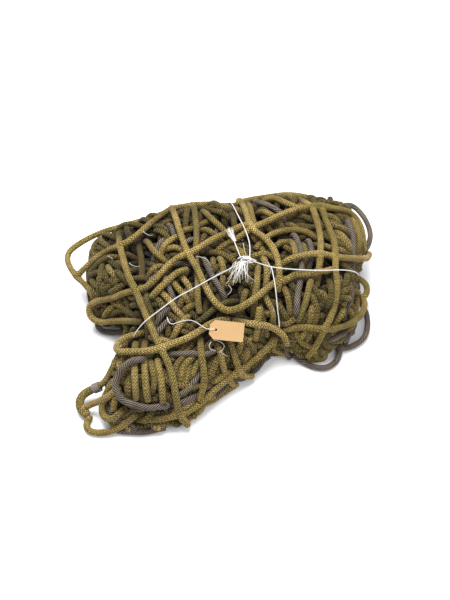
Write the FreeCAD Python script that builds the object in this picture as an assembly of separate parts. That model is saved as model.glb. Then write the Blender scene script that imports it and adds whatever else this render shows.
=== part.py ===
import FreeCAD, Part
import math
import os

# Cargo climbing net, folded up and tied into a bundle that lies on the floor.
# Frame: millimetres, +X to the bundle's right end, +Y to its back, +Z up,
# origin on the floor under the middle of the bundle.

# ---- driving dimensions -------------------------------------------------
net_rope_d = 14.0          # braided rope of the net
twist_rope_d = 12.0        # laid rope that hems the net and leaves it in loops
eye_rope_d = 17.0          # doubled rope of the corner eye
string_d = 2.2             # tie string
tag_string_d = 1.6

fold_height = 134.0        # packed folds in the body of the bundle
end_fold_height = 96.0     # the flatter fold at the left end
low_fold_height = 94.0     # folds of the lower limb
fold_edge_r = 26.0         # rounding of a fold's upper edge
fold_edge_steps = 3        # facets in that rounding

tag_length = 64.0
tag_width = 36.0
tag_thickness = 0.6
tag_chamfer = 9.0
tag_hole_r = 2.4
tag_hole_inset = 12.0      # from the tag's end to the hole's centre
patch_r = 8.0              # round reinforcement at the hole
patch_thickness = 0.3
tag_centre = (11.0, -126.0, 139.0)
tag_tilt = 30.0            # degrees, up towards the back
tag_turn = -6.0            # degrees, in the tag's own plane

knot_size = (26.0, 17.0, 9.0)
knot_centre = (49.0, 16.0, 173.0)
whipping_wall = 1.2        # twine bound round the corner eye's throat
whipping_length = 14.0

# ---- packed folds: outlines on the floor --------------------------------
folds = {
    "fold_left_end": (end_fold_height, [
        (-238, -2), (-240, 75), (-238, 116), (-220, 136), (-152, 158), (-152, -14), (-190, -16)]),
    "fold_left": (fold_height, [
        (-148, -46), (-148, 160), (-100, 190), (-42, 200), (-42, -70)]),
    "fold_middle": (fold_height, [
        (-38, -70), (-38, 200), (60, 200), (60, -73)]),
    "fold_right": (fold_height, [
        (64, -73), (64, 212), (148, 230), (168, 228), (168, -76), (110, -68)]),
    "fold_right_end": (fold_height, [
        (172, -76), (172, 230), (206, 224), (244, 210), (258, 186), (257, 80), (246, 20),
        (236, -20), (212, -54), (196, -70)]),
    "fold_limb_left": (low_fold_height, [
        (-162, -88), (-92, -88), (-92, -212), (-132, -216), (-174, -212), (-184, -196),
        (-188, -165), (-176, -130)]),
    "fold_limb_right": (low_fold_height, [
        (-88, -88), (54, -84), (58, -94), (50, -112), (28, -134), (-8, -160), (-38, -184),
        (-64, -204), (-88, -210)]),
}

# ---- braided ropes of the net's outer layer -----------------------------
net_ropes = {
    "net_rope_left_loop": [
        (-248, -2, 50), (-259, 18, 56), (-279, 46, 58), (-303, 74, 55), (-326, 105, 60),
        (-328, 131, 67), (-308, 144, 77), (-280, 156, 88), (-250, 167, 95), (-216, 174, 101),
        (-186, 184, 104), (-158, 198, 100)],
    "net_rope_top_edge": [
        (-303, 74, 57), (-282, 78, 82), (-254, 86, 104), (-230, 90, 122), (-205, 86, 137),
        (-182, 94, 147), (-160, 122, 146), (-135, 164, 138), (-107, 200, 130), (-78, 212, 126),
        (-44, 222, 122), (-12, 219, 124), (14, 205, 130), (32, 192, 137)],
    "net_rope_long_diagonal": [
        (-212, 126, 118), (-205, 86, 137), (-191, 35, 147), (-180, 0, 143), (-165, -26, 136),
        (-147, -72, 134), (-130, -112, 130), (-110, -155, 124), (-95, -182, 116), (-86, -210, 101),
        (-81, -234, 76), (-77, -249, 40), (-60, -254, 12)],
    "net_rope_centre_diagonal": [
        (-108, 222, 112), (-104, 196, 134), (-94, 150, 157), (-80, 92, 161), (-65, 45, 160),
        (-46, 10, 158), (-31, -30, 156), (-15, -64, 151), (10, -86, 144), (40, -76, 146),
        (68, -54, 149), (94, -28, 150)],
    "net_rope_fold_loop": [
        (-152, -82, 106), (-180, -62, 84), (-214, -42, 56), (-246, -32, 36), (-268, -20, 38),
        (-270, -4, 56), (-250, -4, 74), (-222, -14, 92), (-193, -17, 114), (-165, -26, 134),
        (-141, -28, 146),
        (-121, -10, 156), (-102, 18, 159), (-83, 37, 160), (-65, 45, 160), (-40, 62, 161),
        (-14, 86, 161), (14, 102, 161), (38, 118, 161)],
    "net_rope_second_diagonal": [
        (-134, -50, 140), (-122, -40, 150), (-106, -26, 157), (-90, -8, 160), (-75, 3, 160),
        (-65, 11, 152)],
    "net_rope_left_upright": [
        (-170, 104, 125), (-162, 70, 128), (-157, 36, 128), (-155, 6, 126), (-157, -20, 118)],
    "net_rope_middle_upright": [
        (-60, 216, 121), (-57, 192, 138), (-53, 158, 144), (-50, 122, 145), (-50, 84, 143),
        (-51, 50, 142), (-46, 18, 142), (-44, -14, 141), (-45, -50, 141), (-40, -80, 129)],
    "net_rope_top_cross": [
        (6, 84, 144), (32, 100, 144), (60, 115, 158), (90, 130, 161), (120, 150, 161),
        (155, 168, 161), (190, 176, 160), (226, 176, 156), (262, 184, 142), (287, 188, 118),
        (300, 170, 100), (303, 144, 88)],
    "net_rope_shoulder": [
        (39, 244, 112), (43, 214, 134), (51, 170, 154), (60, 115, 158), (86, 90, 161),
        (102, 64, 161), (111, 34, 161), (114, 8, 156), (112, -14, 144)],
    "net_rope_back_edge": [
        (42, 226, 124), (64, 240, 118), (92, 250, 114), (122, 259, 112), (152, 263, 111),
        (182, 260, 108), (210, 252, 104), (236, 246, 99)],
    "net_rope_right_mid": [
        (80, 90, 143), (100, 112, 144), (130, 124, 144), (160, 126, 144), (182, 116, 144)],
    "net_rope_first_right_upright": [
        (167, 240, 118), (173, 212, 140), (190, 176, 160), (196, 130, 161), (200, 88, 161),
        (196, 46, 161), (193, 22, 150), (189, 0, 142)],
    "net_rope_second_right_upright": [
        (211, 168, 158), (213, 142, 159), (221, 110, 158), (227, 76, 157), (226, 42, 154),
        (223, 5, 152), (226, -26, 140), (220, -52, 121), (211, -74, 106), (198, -90, 92),
        (190, -100, 68), (180, -106, 44), (170, -109, 26)],
    "net_rope_first_level": [
        (118, 30, 144), (134, 34, 158), (164, 42, 161), (196, 46, 161), (226, 42, 154),
        (252, 52, 140), (276, 66, 122), (300, 88, 96), (309, 108, 78)],
    "net_rope_second_level": [
        (128, -10, 149), (144, -6, 158), (168, -7, 161), (192, -1, 161), (207, 8, 152)],
    "net_rope_bottom_right": [
        (122, -80, 76), (142, -86, 94), (168, -88, 100), (198, -90, 92), (230, -76, 80),
        (259, -54, 64), (282, -28, 52), (294, 0, 48)],
    "net_rope_tag_side": [
        (33, -90, 121), (50, -93, 118), (70, -91, 112), (90, -88, 103), (108, -90, 92),
        (122, -95, 79)],
    "net_rope_upright_by_string": [
        (74, -66, 134), (71, -84, 117), (69, -99, 98), (65, -110, 82)],
    "net_rope_limb_edge": [
        (106, -93, 71), (97, -102, 61), (82, -115, 54), (60, -136, 51), (35, -156, 48),
        (10, -174, 45), (-15, -197, 40), (-40, -220, 38), (-60, -238, 38), (-79, -246, 40),
        (-108, -252, 34), (-136, -252, 34)],
    "net_rope_tag_end": [
        (12, -118, 112), (20, -134, 98), (29, -148, 74), (35, -156, 48), (50, -154, 22),
        (64, -144, 12)],
    "net_rope_limb_upright": [
        (-38, -118, 109), (-38, -146, 112), (-33, -174, 102), (-30, -194, 78), (-34, -206, 58)],
    "net_rope_first_limb": [
        (-161, -140, 103), (-160, -168, 103), (-157, -198, 101), (-156, -217, 90)],
    "net_rope_second_limb": [
        (-143, -140, 104), (-142, -168, 105), (-138, -198, 103), (-136, -220, 90)],
    "net_rope_third_limb": [
        (-114, -184, 105), (-110, -200, 102), (-107, -216, 93), (-106, -229, 81)],
    "net_rope_limb_cross": [
        (-160, -108, 102), (-179, -109, 96), (-195, -119, 92), (-199, -137, 96), (-187, -151, 107),
        (-163, -158, 118), (-137, -160, 122), (-110, -155, 124), (-90, -146, 127), (-66, -136, 127),
        (-46, -124, 129), (-22, -106, 132), (-4, -94, 129)],
    "net_rope_limb_loop": [
        (-246, -231, 9), (-256, -247, 8), (-247, -263, 8), (-228, -267, 8), (-207, -265, 9),
        (-188, -260, 18), (-168, -254, 34), (-155, -247, 46)],
    "net_rope_limb_left_edge": [
        (-243, -186, 32), (-228, -182, 38), (-214, -168, 50), (-204, -152, 64), (-196, -136, 72)],
    "net_rope_inner_eye": [
        (-244, -214, 24), (-225, -216, 40), (-206, -217, 60), (-198, -215, 71)],
    "net_rope_small_eye": [
        (-208, -200, 66), (-217, -212, 46), (-225, -229, 30), (-217, -246, 26), (-200, -252, 34),
        (-187, -246, 46)],
    "net_rope_side_loop": [
        (274, 68, 66), (290, 62, 62), (304, 52, 54), (303, 34, 46), (288, 26, 40), (272, 31, 36)],
}

# ---- laid ropes ---------------------------------------------------------
twisted_ropes = {
    "twisted_rope_limb_curve": [
        (-153, -175, 118), (-170, -180, 115), (-186, -194, 104), (-195, -216, 92),
        (-184, -236, 80), (-160, -243, 72), (-134, -246, 64), (-112, -240, 60)],
    "twisted_rope_middle": [
        (-32, 44, 144), (-24, 18, 144), (-10, -12, 143), (2, -34, 142)],
    "twisted_rope_right_inner": [
        (150, 108, 146), (159, 78, 144), (160, 44, 144), (158, 10, 144), (152, -20, 145),
        (147, -44, 142), (145, -63, 136)],
    "twisted_rope_right_outer": [
        (178, 91, 147), (182, 68, 146), (178, 44, 144)],
    "twisted_rope_top": [
        (70, 222, 130), (90, 204, 142), (112, 184, 147), (124, 170, 147)],
    "twisted_rope_right_side": [
        (262, 164, 134), (270, 140, 132), (274, 114, 122), (272, 88, 108), (266, 58, 106),
        (262, 30, 104), (262, 4, 96), (254, -24, 80), (240, -48, 64)],
    "twisted_rope_top_right_loop": [
        (261, 230, 103), (272, 243, 99), (289, 246, 94), (306, 231, 87), (319, 206, 80),
        (324, 177, 74), (317, 152, 68), (306, 136, 66)],
    "twisted_rope_low_right_loop": [
        (293, 16, 32), (302, 0, 24), (303, -24, 14), (294, -50, 9), (274, -67, 8), (250, -77, 8)],
    "twisted_rope_bottom_loop": [
        (153, -100, 9), (170, -112, 7), (190, -122, 7), (212, -122, 7), (231, -107, 7),
        (239, -89, 8)],
    "twisted_rope_left_bottom": [
        (-256, -5, 20), (-258, -18, 12), (-248, -32, 8), (-225, -36, 7), (-202, -34, 8)],
}

# ---- corner eye, tie string and the tag's string ------------------------
eye_route = [
    (-244, -186, 32), (-262, -190, 25), (-271, -206, 19), (-265, -223, 14), (-250, -232, 12)]

strings = {
    "tie_string_back": [
        (55, 21, 172), (59, 52, 171), (50, 98, 170), (37, 136, 168), (26, 176, 160),
        (20, 204, 146)],
    "tie_string_right": [
        (58, 17, 173), (80, 8, 171), (104, 1, 170), (136, -3, 170), (168, -6, 171), (200, -6, 170),
        (230, 2, 163), (256, 12, 148), (272, 22, 128)],
    "tie_string_front": [
        (97, 2, 171), (101, -20, 168), (105, -48, 154), (108, -70, 130), (112, -84, 108)],
    "tie_string_left": [
        (40, 11, 173), (10, -8, 171), (-20, -26, 169), (-50, -46, 166), (-84, -64, 160),
        (-116, -88, 150), (-142, -106, 142), (-160, -118, 122)],
    "tie_string_tail": [
        (39, 22, 173), (31, 52, 171), (22, 84, 170)],
}
tag_string_route = [
    (-29, -120.5, 140), (-36, -117, 143), (-48, -108, 145), (-62, -104, 144), (-78, -108, 143),
    (-90, -114, 142), (-98, -108, 143), (-100, -98, 144)]


def vec(point):
    return FreeCAD.Vector(*point)


def rope_tube(name, route, diameter):
    """Straight runs joined by tangent arcs, swept with a round section."""
    points = [vec(p) for p in route]
    edges = []
    start = points[0]
    length = 0.0
    tightest = None
    for before, corner, after in zip(points, points[1:], points[2:]):
        incoming = corner.sub(before)
        outgoing = after.sub(corner)
        shorter = min(incoming.Length, outgoing.Length)
        half_turn = incoming.getAngle(outgoing) / 2
        reach = 0.45 * shorter
        radius = reach / math.tan(half_turn)
        incoming.normalize()
        outgoing.normalize()
        arc_in = corner.sub(incoming * reach)
        arc_out = corner.add(outgoing * reach)
        inward = outgoing.sub(incoming)
        inward.normalize()
        sagitta = radius / math.cos(half_turn) - radius
        edges.append(Part.LineSegment(start, arc_in).toShape())
        edges.append(Part.Arc(arc_in, corner.add(inward * sagitta), arc_out).toShape())
        length += start.distanceToPoint(arc_in) + 2 * half_turn * radius
        start = arc_out
        tightest = radius if tightest is None else min(tightest, radius)
    edges.append(Part.LineSegment(start, points[-1]).toShape())
    length += start.distanceToPoint(points[-1])
    heading = points[1].sub(points[0])
    section = Part.Wire(Part.makeCircle(diameter / 2, points[0], heading))
    tube = Part.Wire(edges).makePipeShell([section], True, False)
    drawn = math.pi * diameter ** 2 / 4 * length
    print(f"{name}: length {length:.0f}, tightest radius {tightest:.0f} "
          f"({tightest / diameter:.1f} diameters), volume ratio {tube.Volume / drawn:.4f}")
    return tube


def inset_outline(outline, depth, level):
    """The outline moved inwards by depth, as a closed wire at the given height."""
    corners = []
    count = len(outline)
    for i in range(count):
        here = vec((*outline[i], 0))
        before = here.sub(vec((*outline[i - 1], 0)))
        after = vec((*outline[(i + 1) % count], 0)).sub(here)
        before.normalize()
        after.normalize()
        half_turn = before.getAngle(after) / 2
        inward = FreeCAD.Vector(before.y + after.y, -before.x - after.x, 0)
        inward.normalize()
        moved = here.add(inward * (depth / math.cos(half_turn)))
        corners.append(FreeCAD.Vector(moved.x, moved.y, level))
    return Part.makePolygon(corners + corners[:1])


def packed_fold(outline, height):
    """A stack of net folded flat: upright sides and an upper edge rounded in facets."""
    wires = [inset_outline(outline, 0, 0)]
    for step in range(fold_edge_steps + 1):
        angle = math.pi / 2 * step / fold_edge_steps
        depth = fold_edge_r * (1 - math.cos(angle))
        level = height - fold_edge_r + fold_edge_r * math.sin(angle)
        wires.append(inset_outline(outline, depth, level))
    return Part.makeLoft(wires, True, True)


def tag_frame():
    turn = FreeCAD.Rotation(FreeCAD.Vector(0, 0, 1), tag_turn)
    tilt = FreeCAD.Rotation(FreeCAD.Vector(1, 0, 0), tag_tilt)
    return FreeCAD.Placement(vec(tag_centre), tilt.multiply(turn))


def tag_card():
    """Card with two clipped corners and a string hole; its underside is at z = 0."""
    left = -tag_length / 2
    right = tag_length / 2
    side = tag_width / 2
    outline = [
        (left, -side + tag_chamfer), (left + tag_chamfer, -side), (right, -side),
        (right, side), (left + tag_chamfer, side), (left, side - tag_chamfer)]
    corners = [vec((x, y, 0)) for x, y in outline]
    card = Part.Face(Part.makePolygon(corners + corners[:1])).extrude(vec((0, 0, tag_thickness)))
    hole_at = vec((left + tag_hole_inset, 0, -1))
    return card.cut(Part.makeCylinder(tag_hole_r, tag_thickness + 2, hole_at))


def tag_patch():
    seat = vec((-tag_length / 2 + tag_hole_inset, 0, tag_thickness))
    disc = Part.makeCylinder(patch_r, patch_thickness, seat)
    return disc.cut(Part.makeCylinder(tag_hole_r, patch_thickness, seat))


def tag_loop():
    """Ring of string through the hole and round the tag's end, standing on edge."""
    hole_x = -tag_length / 2 + tag_hole_inset
    end_x = -tag_length / 2 - 2 * tag_string_d
    centre = vec(((hole_x + end_x) / 2, 0, tag_thickness / 2))
    return Part.makeTorus((hole_x - end_x) / 2, tag_string_d / 2, centre, vec((0, 1, 0)))


def whipping():
    """Twine bound round the two ropes that come together behind the eye's throat."""
    throat = vec(eye_route[0])
    heading = throat.sub(vec(eye_route[1]))
    heading.normalize()
    foot = throat.add(heading * 0.5)
    return Part.makeCylinder(eye_rope_d / 2 + whipping_wall, whipping_length, foot, heading)


def knot():
    """Flattened knot of the tie string."""
    length, width, height = knot_size
    corner = vec(knot_centre).sub(vec((length / 2, width / 2, height / 2)))
    block = Part.makeBox(length, width, height, corner)
    return block.makeFillet(0.4 * height, block.Edges)


def build():
    nodes = {}
    for name, (height, outline) in folds.items():
        nodes[name] = packed_fold(outline, height)
    for name, route in net_ropes.items():
        nodes[name] = rope_tube(name, route, net_rope_d)
    for name, route in twisted_ropes.items():
        nodes[name] = rope_tube(name, route, twist_rope_d)
    for name, route in strings.items():
        nodes[name] = rope_tube(name, route, string_d)
    nodes["corner_eye"] = rope_tube("corner_eye", eye_route, eye_rope_d)
    nodes["eye_whipping"] = whipping()
    nodes["tie_knot"] = knot()
    nodes["tag_string"] = rope_tube("tag_string", tag_string_route, tag_string_d)
    for name, shape in (("tag_card", tag_card()), ("tag_patch", tag_patch()),
                        ("tag_string_loop", tag_loop())):
        shape.Placement = tag_frame()
        nodes[name] = shape
    return nodes


os.makedirs("parts", exist_ok=True)
for node, shape in build().items():
    shape.exportStep(f"parts/{node}.step")
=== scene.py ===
import math

import bpy
import numpy as np
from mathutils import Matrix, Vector


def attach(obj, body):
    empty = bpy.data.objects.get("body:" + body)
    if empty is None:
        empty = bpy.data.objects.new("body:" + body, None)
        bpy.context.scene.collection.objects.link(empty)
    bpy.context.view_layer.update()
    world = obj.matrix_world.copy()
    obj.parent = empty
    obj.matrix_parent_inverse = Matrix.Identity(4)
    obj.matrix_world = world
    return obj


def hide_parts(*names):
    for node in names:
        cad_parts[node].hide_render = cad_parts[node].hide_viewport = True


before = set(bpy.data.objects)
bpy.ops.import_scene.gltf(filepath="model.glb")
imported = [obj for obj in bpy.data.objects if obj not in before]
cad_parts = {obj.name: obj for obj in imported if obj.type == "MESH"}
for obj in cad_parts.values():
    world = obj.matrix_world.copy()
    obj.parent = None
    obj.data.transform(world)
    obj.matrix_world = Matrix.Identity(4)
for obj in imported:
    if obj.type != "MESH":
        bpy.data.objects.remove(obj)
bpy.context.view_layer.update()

# camera
cameraValues = {
    "place": (0.008, -0.93458, 1.26679),
    "tiltDegrees": 38.0,  # from straight down
    "lens": 45.0,  # mm, on a 36 mm sensor
}


def addCamera(values):
    data = bpy.data.cameras.new("camera")
    data.lens = values["lens"]
    data.sensor_width = 36.0
    camera = bpy.data.objects.new("camera", data)
    camera.location = values["place"]
    camera.rotation_euler = (math.radians(values["tiltDegrees"]), 0, 0)
    bpy.context.scene.collection.objects.link(camera)
    bpy.context.scene.camera = camera


addCamera(cameraValues)
print("camera set")

# routes of the ropes: control points of each rope's line, in metres
netRoutes = {
    "net_rope_left_loop": [
        (-0.248, -0.002, 0.05), (-0.259, 0.018, 0.056), (-0.279, 0.046, 0.058), (-0.303, 0.074, 0.055),
        (-0.326, 0.105, 0.06), (-0.328, 0.131, 0.067), (-0.308, 0.144, 0.077), (-0.28, 0.156, 0.088),
        (-0.25, 0.167, 0.095), (-0.216, 0.174, 0.101), (-0.186, 0.184, 0.104), (-0.158, 0.198, 0.1),
        (-0.146, 0.204, 0.097), (-0.136, 0.206, 0.09)],
    "net_rope_top_edge": [
        (-0.303, 0.074, 0.057), (-0.282, 0.078, 0.082), (-0.254, 0.086, 0.104), (-0.23, 0.09, 0.122),
        (-0.205, 0.086, 0.137), (-0.182, 0.094, 0.147), (-0.16, 0.122, 0.146), (-0.135, 0.164, 0.138),
        (-0.107, 0.2, 0.13), (-0.078, 0.212, 0.126), (-0.044, 0.222, 0.122), (-0.012, 0.219, 0.124),
        (0.014, 0.205, 0.13), (0.032, 0.192, 0.137), (0.043, 0.182, 0.138), (0.051, 0.175, 0.134)],
    "net_rope_long_diagonal": [
        (-0.216, 0.144, 0.113), (-0.212, 0.126, 0.118), (-0.205, 0.086, 0.137), (-0.191, 0.035, 0.147),
        (-0.18, 0, 0.143), (-0.165, -0.026, 0.136), (-0.147, -0.072, 0.134), (-0.13, -0.112, 0.13),
        (-0.11, -0.155, 0.124), (-0.095, -0.182, 0.116), (-0.086, -0.21, 0.101), (-0.081, -0.234, 0.076),
        (-0.077, -0.249, 0.04), (-0.06, -0.254, 0.012)],
    "net_rope_centre_diagonal": [
        (-0.108, 0.222, 0.112), (-0.104, 0.196, 0.134), (-0.094, 0.15, 0.157), (-0.08, 0.092, 0.161),
        (-0.065, 0.045, 0.16), (-0.046, 0.01, 0.158), (-0.031, -0.03, 0.156), (-0.015, -0.064, 0.151),
        (0.01, -0.086, 0.144), (0.04, -0.076, 0.146), (0.068, -0.054, 0.149), (0.094, -0.028, 0.15),
        (0.104, -0.018, 0.147), (0.11, -0.01, 0.14)],
    "net_rope_fold_loop": [
        (-0.152, -0.082, 0.106), (-0.18, -0.062, 0.084), (-0.214, -0.042, 0.056), (-0.246, -0.032, 0.036),
        (-0.268, -0.02, 0.038), (-0.27, -0.004, 0.056), (-0.25, -0.004, 0.074), (-0.222, -0.014, 0.092),
        (-0.193, -0.017, 0.114), (-0.165, -0.026, 0.134), (-0.141, -0.028, 0.146), (-0.121, -0.01, 0.156),
        (-0.102, 0.018, 0.159), (-0.083, 0.037, 0.16), (-0.065, 0.045, 0.16), (-0.04, 0.062, 0.161),
        (-0.014, 0.086, 0.161), (0.014, 0.102, 0.161), (0.038, 0.118, 0.161), (0.049, 0.126, 0.158),
        (0.058, 0.131, 0.15)],
    "net_rope_second_diagonal": [
        (-0.134, -0.05, 0.14), (-0.122, -0.04, 0.15), (-0.106, -0.026, 0.157), (-0.09, -0.008, 0.16),
        (-0.075, 0.003, 0.16), (-0.065, 0.011, 0.152)],
    "net_rope_left_upright": [
        (-0.172, 0.12, 0.117), (-0.17, 0.104, 0.125), (-0.162, 0.07, 0.128), (-0.157, 0.036, 0.128),
        (-0.155, 0.006, 0.126), (-0.157, -0.02, 0.118)],
    "net_rope_middle_upright": [
        (-0.06, 0.216, 0.121), (-0.057, 0.192, 0.138), (-0.053, 0.158, 0.144), (-0.05, 0.122, 0.145),
        (-0.05, 0.084, 0.143), (-0.051, 0.05, 0.142), (-0.046, 0.018, 0.142), (-0.044, -0.014, 0.141),
        (-0.045, -0.05, 0.141), (-0.04, -0.08, 0.129)],
    "net_rope_top_cross": [
        (-0.009, 0.073, 0.137), (0.006, 0.084, 0.144), (0.032, 0.1, 0.144), (0.06, 0.115, 0.158),
        (0.09, 0.13, 0.161), (0.12, 0.15, 0.161), (0.155, 0.168, 0.161), (0.19, 0.176, 0.16),
        (0.226, 0.176, 0.156), (0.262, 0.184, 0.142), (0.287, 0.188, 0.118), (0.3, 0.17, 0.1),
        (0.303, 0.144, 0.088), (0.302, 0.122, 0.08)],
    "net_rope_shoulder": [
        (0.037, 0.257, 0.098), (0.039, 0.244, 0.112), (0.043, 0.214, 0.134), (0.051, 0.17, 0.154),
        (0.06, 0.115, 0.158), (0.086, 0.09, 0.161), (0.102, 0.064, 0.161), (0.111, 0.034, 0.161),
        (0.114, 0.008, 0.156), (0.112, -0.014, 0.144), (0.109, -0.032, 0.134)],
    "net_rope_back_edge": [
        (0.03, 0.215, 0.125), (0.042, 0.226, 0.124), (0.064, 0.24, 0.118), (0.092, 0.25, 0.114),
        (0.122, 0.259, 0.112), (0.152, 0.263, 0.111), (0.182, 0.26, 0.108), (0.21, 0.252, 0.104),
        (0.236, 0.246, 0.099), (0.249, 0.239, 0.094), (0.256, 0.23, 0.09)],
    "net_rope_right_mid": [
        (0.068, 0.076, 0.137), (0.08, 0.09, 0.143), (0.1, 0.112, 0.144), (0.13, 0.124, 0.144),
        (0.16, 0.126, 0.144), (0.182, 0.116, 0.144), (0.197, 0.104, 0.137)],
    "net_rope_first_right_upright": [
        (0.165, 0.255, 0.102), (0.167, 0.24, 0.118), (0.173, 0.212, 0.14), (0.19, 0.176, 0.16),
        (0.196, 0.13, 0.161), (0.2, 0.088, 0.161), (0.196, 0.046, 0.161), (0.193, 0.022, 0.15),
        (0.189, 0, 0.142), (0.186, -0.017, 0.131)],
    "net_rope_second_right_upright": [
        (0.203, 0.188, 0.152), (0.211, 0.168, 0.158), (0.213, 0.142, 0.159), (0.221, 0.11, 0.158),
        (0.227, 0.076, 0.157), (0.226, 0.042, 0.154), (0.223, 0.005, 0.152), (0.226, -0.026, 0.14),
        (0.22, -0.052, 0.121), (0.211, -0.074, 0.106), (0.198, -0.09, 0.092), (0.19, -0.1, 0.068),
        (0.18, -0.106, 0.044), (0.17, -0.109, 0.026)],
    "net_rope_first_level": [
        (0.104, 0.027, 0.136), (0.118, 0.03, 0.144), (0.134, 0.034, 0.158), (0.164, 0.042, 0.161),
        (0.196, 0.046, 0.161), (0.226, 0.042, 0.154), (0.252, 0.052, 0.14), (0.276, 0.066, 0.122),
        (0.3, 0.088, 0.096), (0.309, 0.108, 0.078), (0.314, 0.12, 0.072), (0.315, 0.129, 0.068)],
    "net_rope_second_level": [
        (0.116, -0.012, 0.142), (0.128, -0.01, 0.149), (0.144, -0.006, 0.158), (0.168, -0.007, 0.161),
        (0.192, -0.001, 0.161), (0.207, 0.008, 0.152), (0.22, 0.02, 0.144)],
    "net_rope_bottom_right": [
        (0.122, -0.08, 0.076), (0.142, -0.086, 0.094), (0.168, -0.088, 0.1), (0.198, -0.09, 0.092),
        (0.23, -0.076, 0.08), (0.259, -0.054, 0.064), (0.282, -0.028, 0.052), (0.294, 0, 0.048),
        (0.296, 0.012, 0.046), (0.293, 0.024, 0.044)],
    "net_rope_tag_side": [
        (0.02, -0.092, 0.123), (0.033, -0.09, 0.121), (0.05, -0.093, 0.118), (0.07, -0.091, 0.112),
        (0.09, -0.088, 0.103), (0.108, -0.09, 0.092), (0.122, -0.095, 0.079), (0.127, -0.1, 0.068),
        (0.129, -0.102, 0.058)],
    "net_rope_upright_by_string": [
        (0.074, -0.066, 0.134), (0.071, -0.084, 0.117), (0.069, -0.099, 0.098), (0.065, -0.11, 0.082)],
    "net_rope_limb_edge": [
        (0.106, -0.093, 0.071), (0.097, -0.102, 0.061), (0.082, -0.115, 0.054), (0.06, -0.136, 0.051),
        (0.035, -0.156, 0.048), (0.01, -0.174, 0.045), (-0.015, -0.197, 0.04), (-0.04, -0.22, 0.038),
        (-0.06, -0.238, 0.038), (-0.079, -0.246, 0.04), (-0.108, -0.252, 0.034), (-0.136, -0.252, 0.034),
        (-0.15, -0.249, 0.026), (-0.159, -0.245, 0.02)],
    "net_rope_tag_end": [
        (0.012, -0.118, 0.112), (0.02, -0.134, 0.098), (0.029, -0.148, 0.074), (0.035, -0.156, 0.048),
        (0.05, -0.154, 0.022), (0.064, -0.144, 0.012)],
    "net_rope_limb_upright": [
        (-0.038, -0.118, 0.109), (-0.038, -0.146, 0.112), (-0.033, -0.174, 0.102), (-0.03, -0.194, 0.078),
        (-0.034, -0.206, 0.058), (-0.041, -0.221, 0.045)],
    "net_rope_first_limb": [
        (-0.161, -0.122, 0.095), (-0.161, -0.14, 0.103), (-0.16, -0.168, 0.103), (-0.157, -0.198, 0.101),
        (-0.156, -0.217, 0.09), (-0.155, -0.229, 0.075), (-0.155, -0.234, 0.069)],
    "net_rope_second_limb": [
        (-0.143, -0.122, 0.099), (-0.143, -0.14, 0.104), (-0.142, -0.168, 0.105), (-0.138, -0.198, 0.103),
        (-0.136, -0.22, 0.09), (-0.134, -0.231, 0.075), (-0.133, -0.237, 0.068)],
    "net_rope_third_limb": [
        (-0.117, -0.166, 0.106), (-0.114, -0.184, 0.105), (-0.11, -0.2, 0.102), (-0.107, -0.216, 0.093),
        (-0.106, -0.229, 0.081), (-0.105, -0.239, 0.067)],
    "net_rope_limb_cross": [
        (-0.144, -0.1, 0.098), (-0.16, -0.108, 0.102), (-0.179, -0.109, 0.096), (-0.195, -0.119, 0.092),
        (-0.199, -0.137, 0.096), (-0.187, -0.151, 0.107), (-0.163, -0.158, 0.118), (-0.137, -0.16, 0.122),
        (-0.11, -0.155, 0.124), (-0.09, -0.146, 0.127), (-0.066, -0.136, 0.127), (-0.046, -0.124, 0.129),
        (-0.022, -0.106, 0.132), (-0.004, -0.094, 0.129), (0.008, -0.092, 0.127), (0.018, -0.091, 0.125)],
    "net_rope_limb_loop": [
        (-0.246, -0.231, 0.009), (-0.256, -0.247, 0.008), (-0.247, -0.263, 0.008),
        (-0.228, -0.267, 0.008),
        (-0.207, -0.265, 0.009), (-0.188, -0.26, 0.018), (-0.168, -0.254, 0.034),
        (-0.155, -0.247, 0.046)],
    "net_rope_limb_left_edge": [
        (-0.243, -0.186, 0.032), (-0.228, -0.182, 0.038), (-0.214, -0.168, 0.05), (-0.204, -0.152, 0.064),
        (-0.196, -0.136, 0.072), (-0.189, -0.12, 0.075)],
    "net_rope_inner_eye": [
        (-0.264, -0.222, 0.015), (-0.255, -0.217, 0.019), (-0.244, -0.214, 0.024), (-0.225, -0.216, 0.04),
        (-0.206, -0.217, 0.06), (-0.198, -0.215, 0.071), (-0.184, -0.21, 0.075)],
    "net_rope_small_eye": [
        (-0.194, -0.191, 0.075), (-0.208, -0.2, 0.066), (-0.217, -0.212, 0.046), (-0.225, -0.229, 0.03),
        (-0.217, -0.246, 0.026), (-0.2, -0.252, 0.034), (-0.187, -0.246, 0.046), (-0.174, -0.236, 0.05)],
    "net_rope_side_loop": [
        (0.257, 0.07, 0.069), (0.274, 0.068, 0.066), (0.29, 0.062, 0.062), (0.304, 0.052, 0.054),
        (0.303, 0.034, 0.046), (0.288, 0.026, 0.04), (0.272, 0.031, 0.036), (0.256, 0.035, 0.036)],
}

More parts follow.
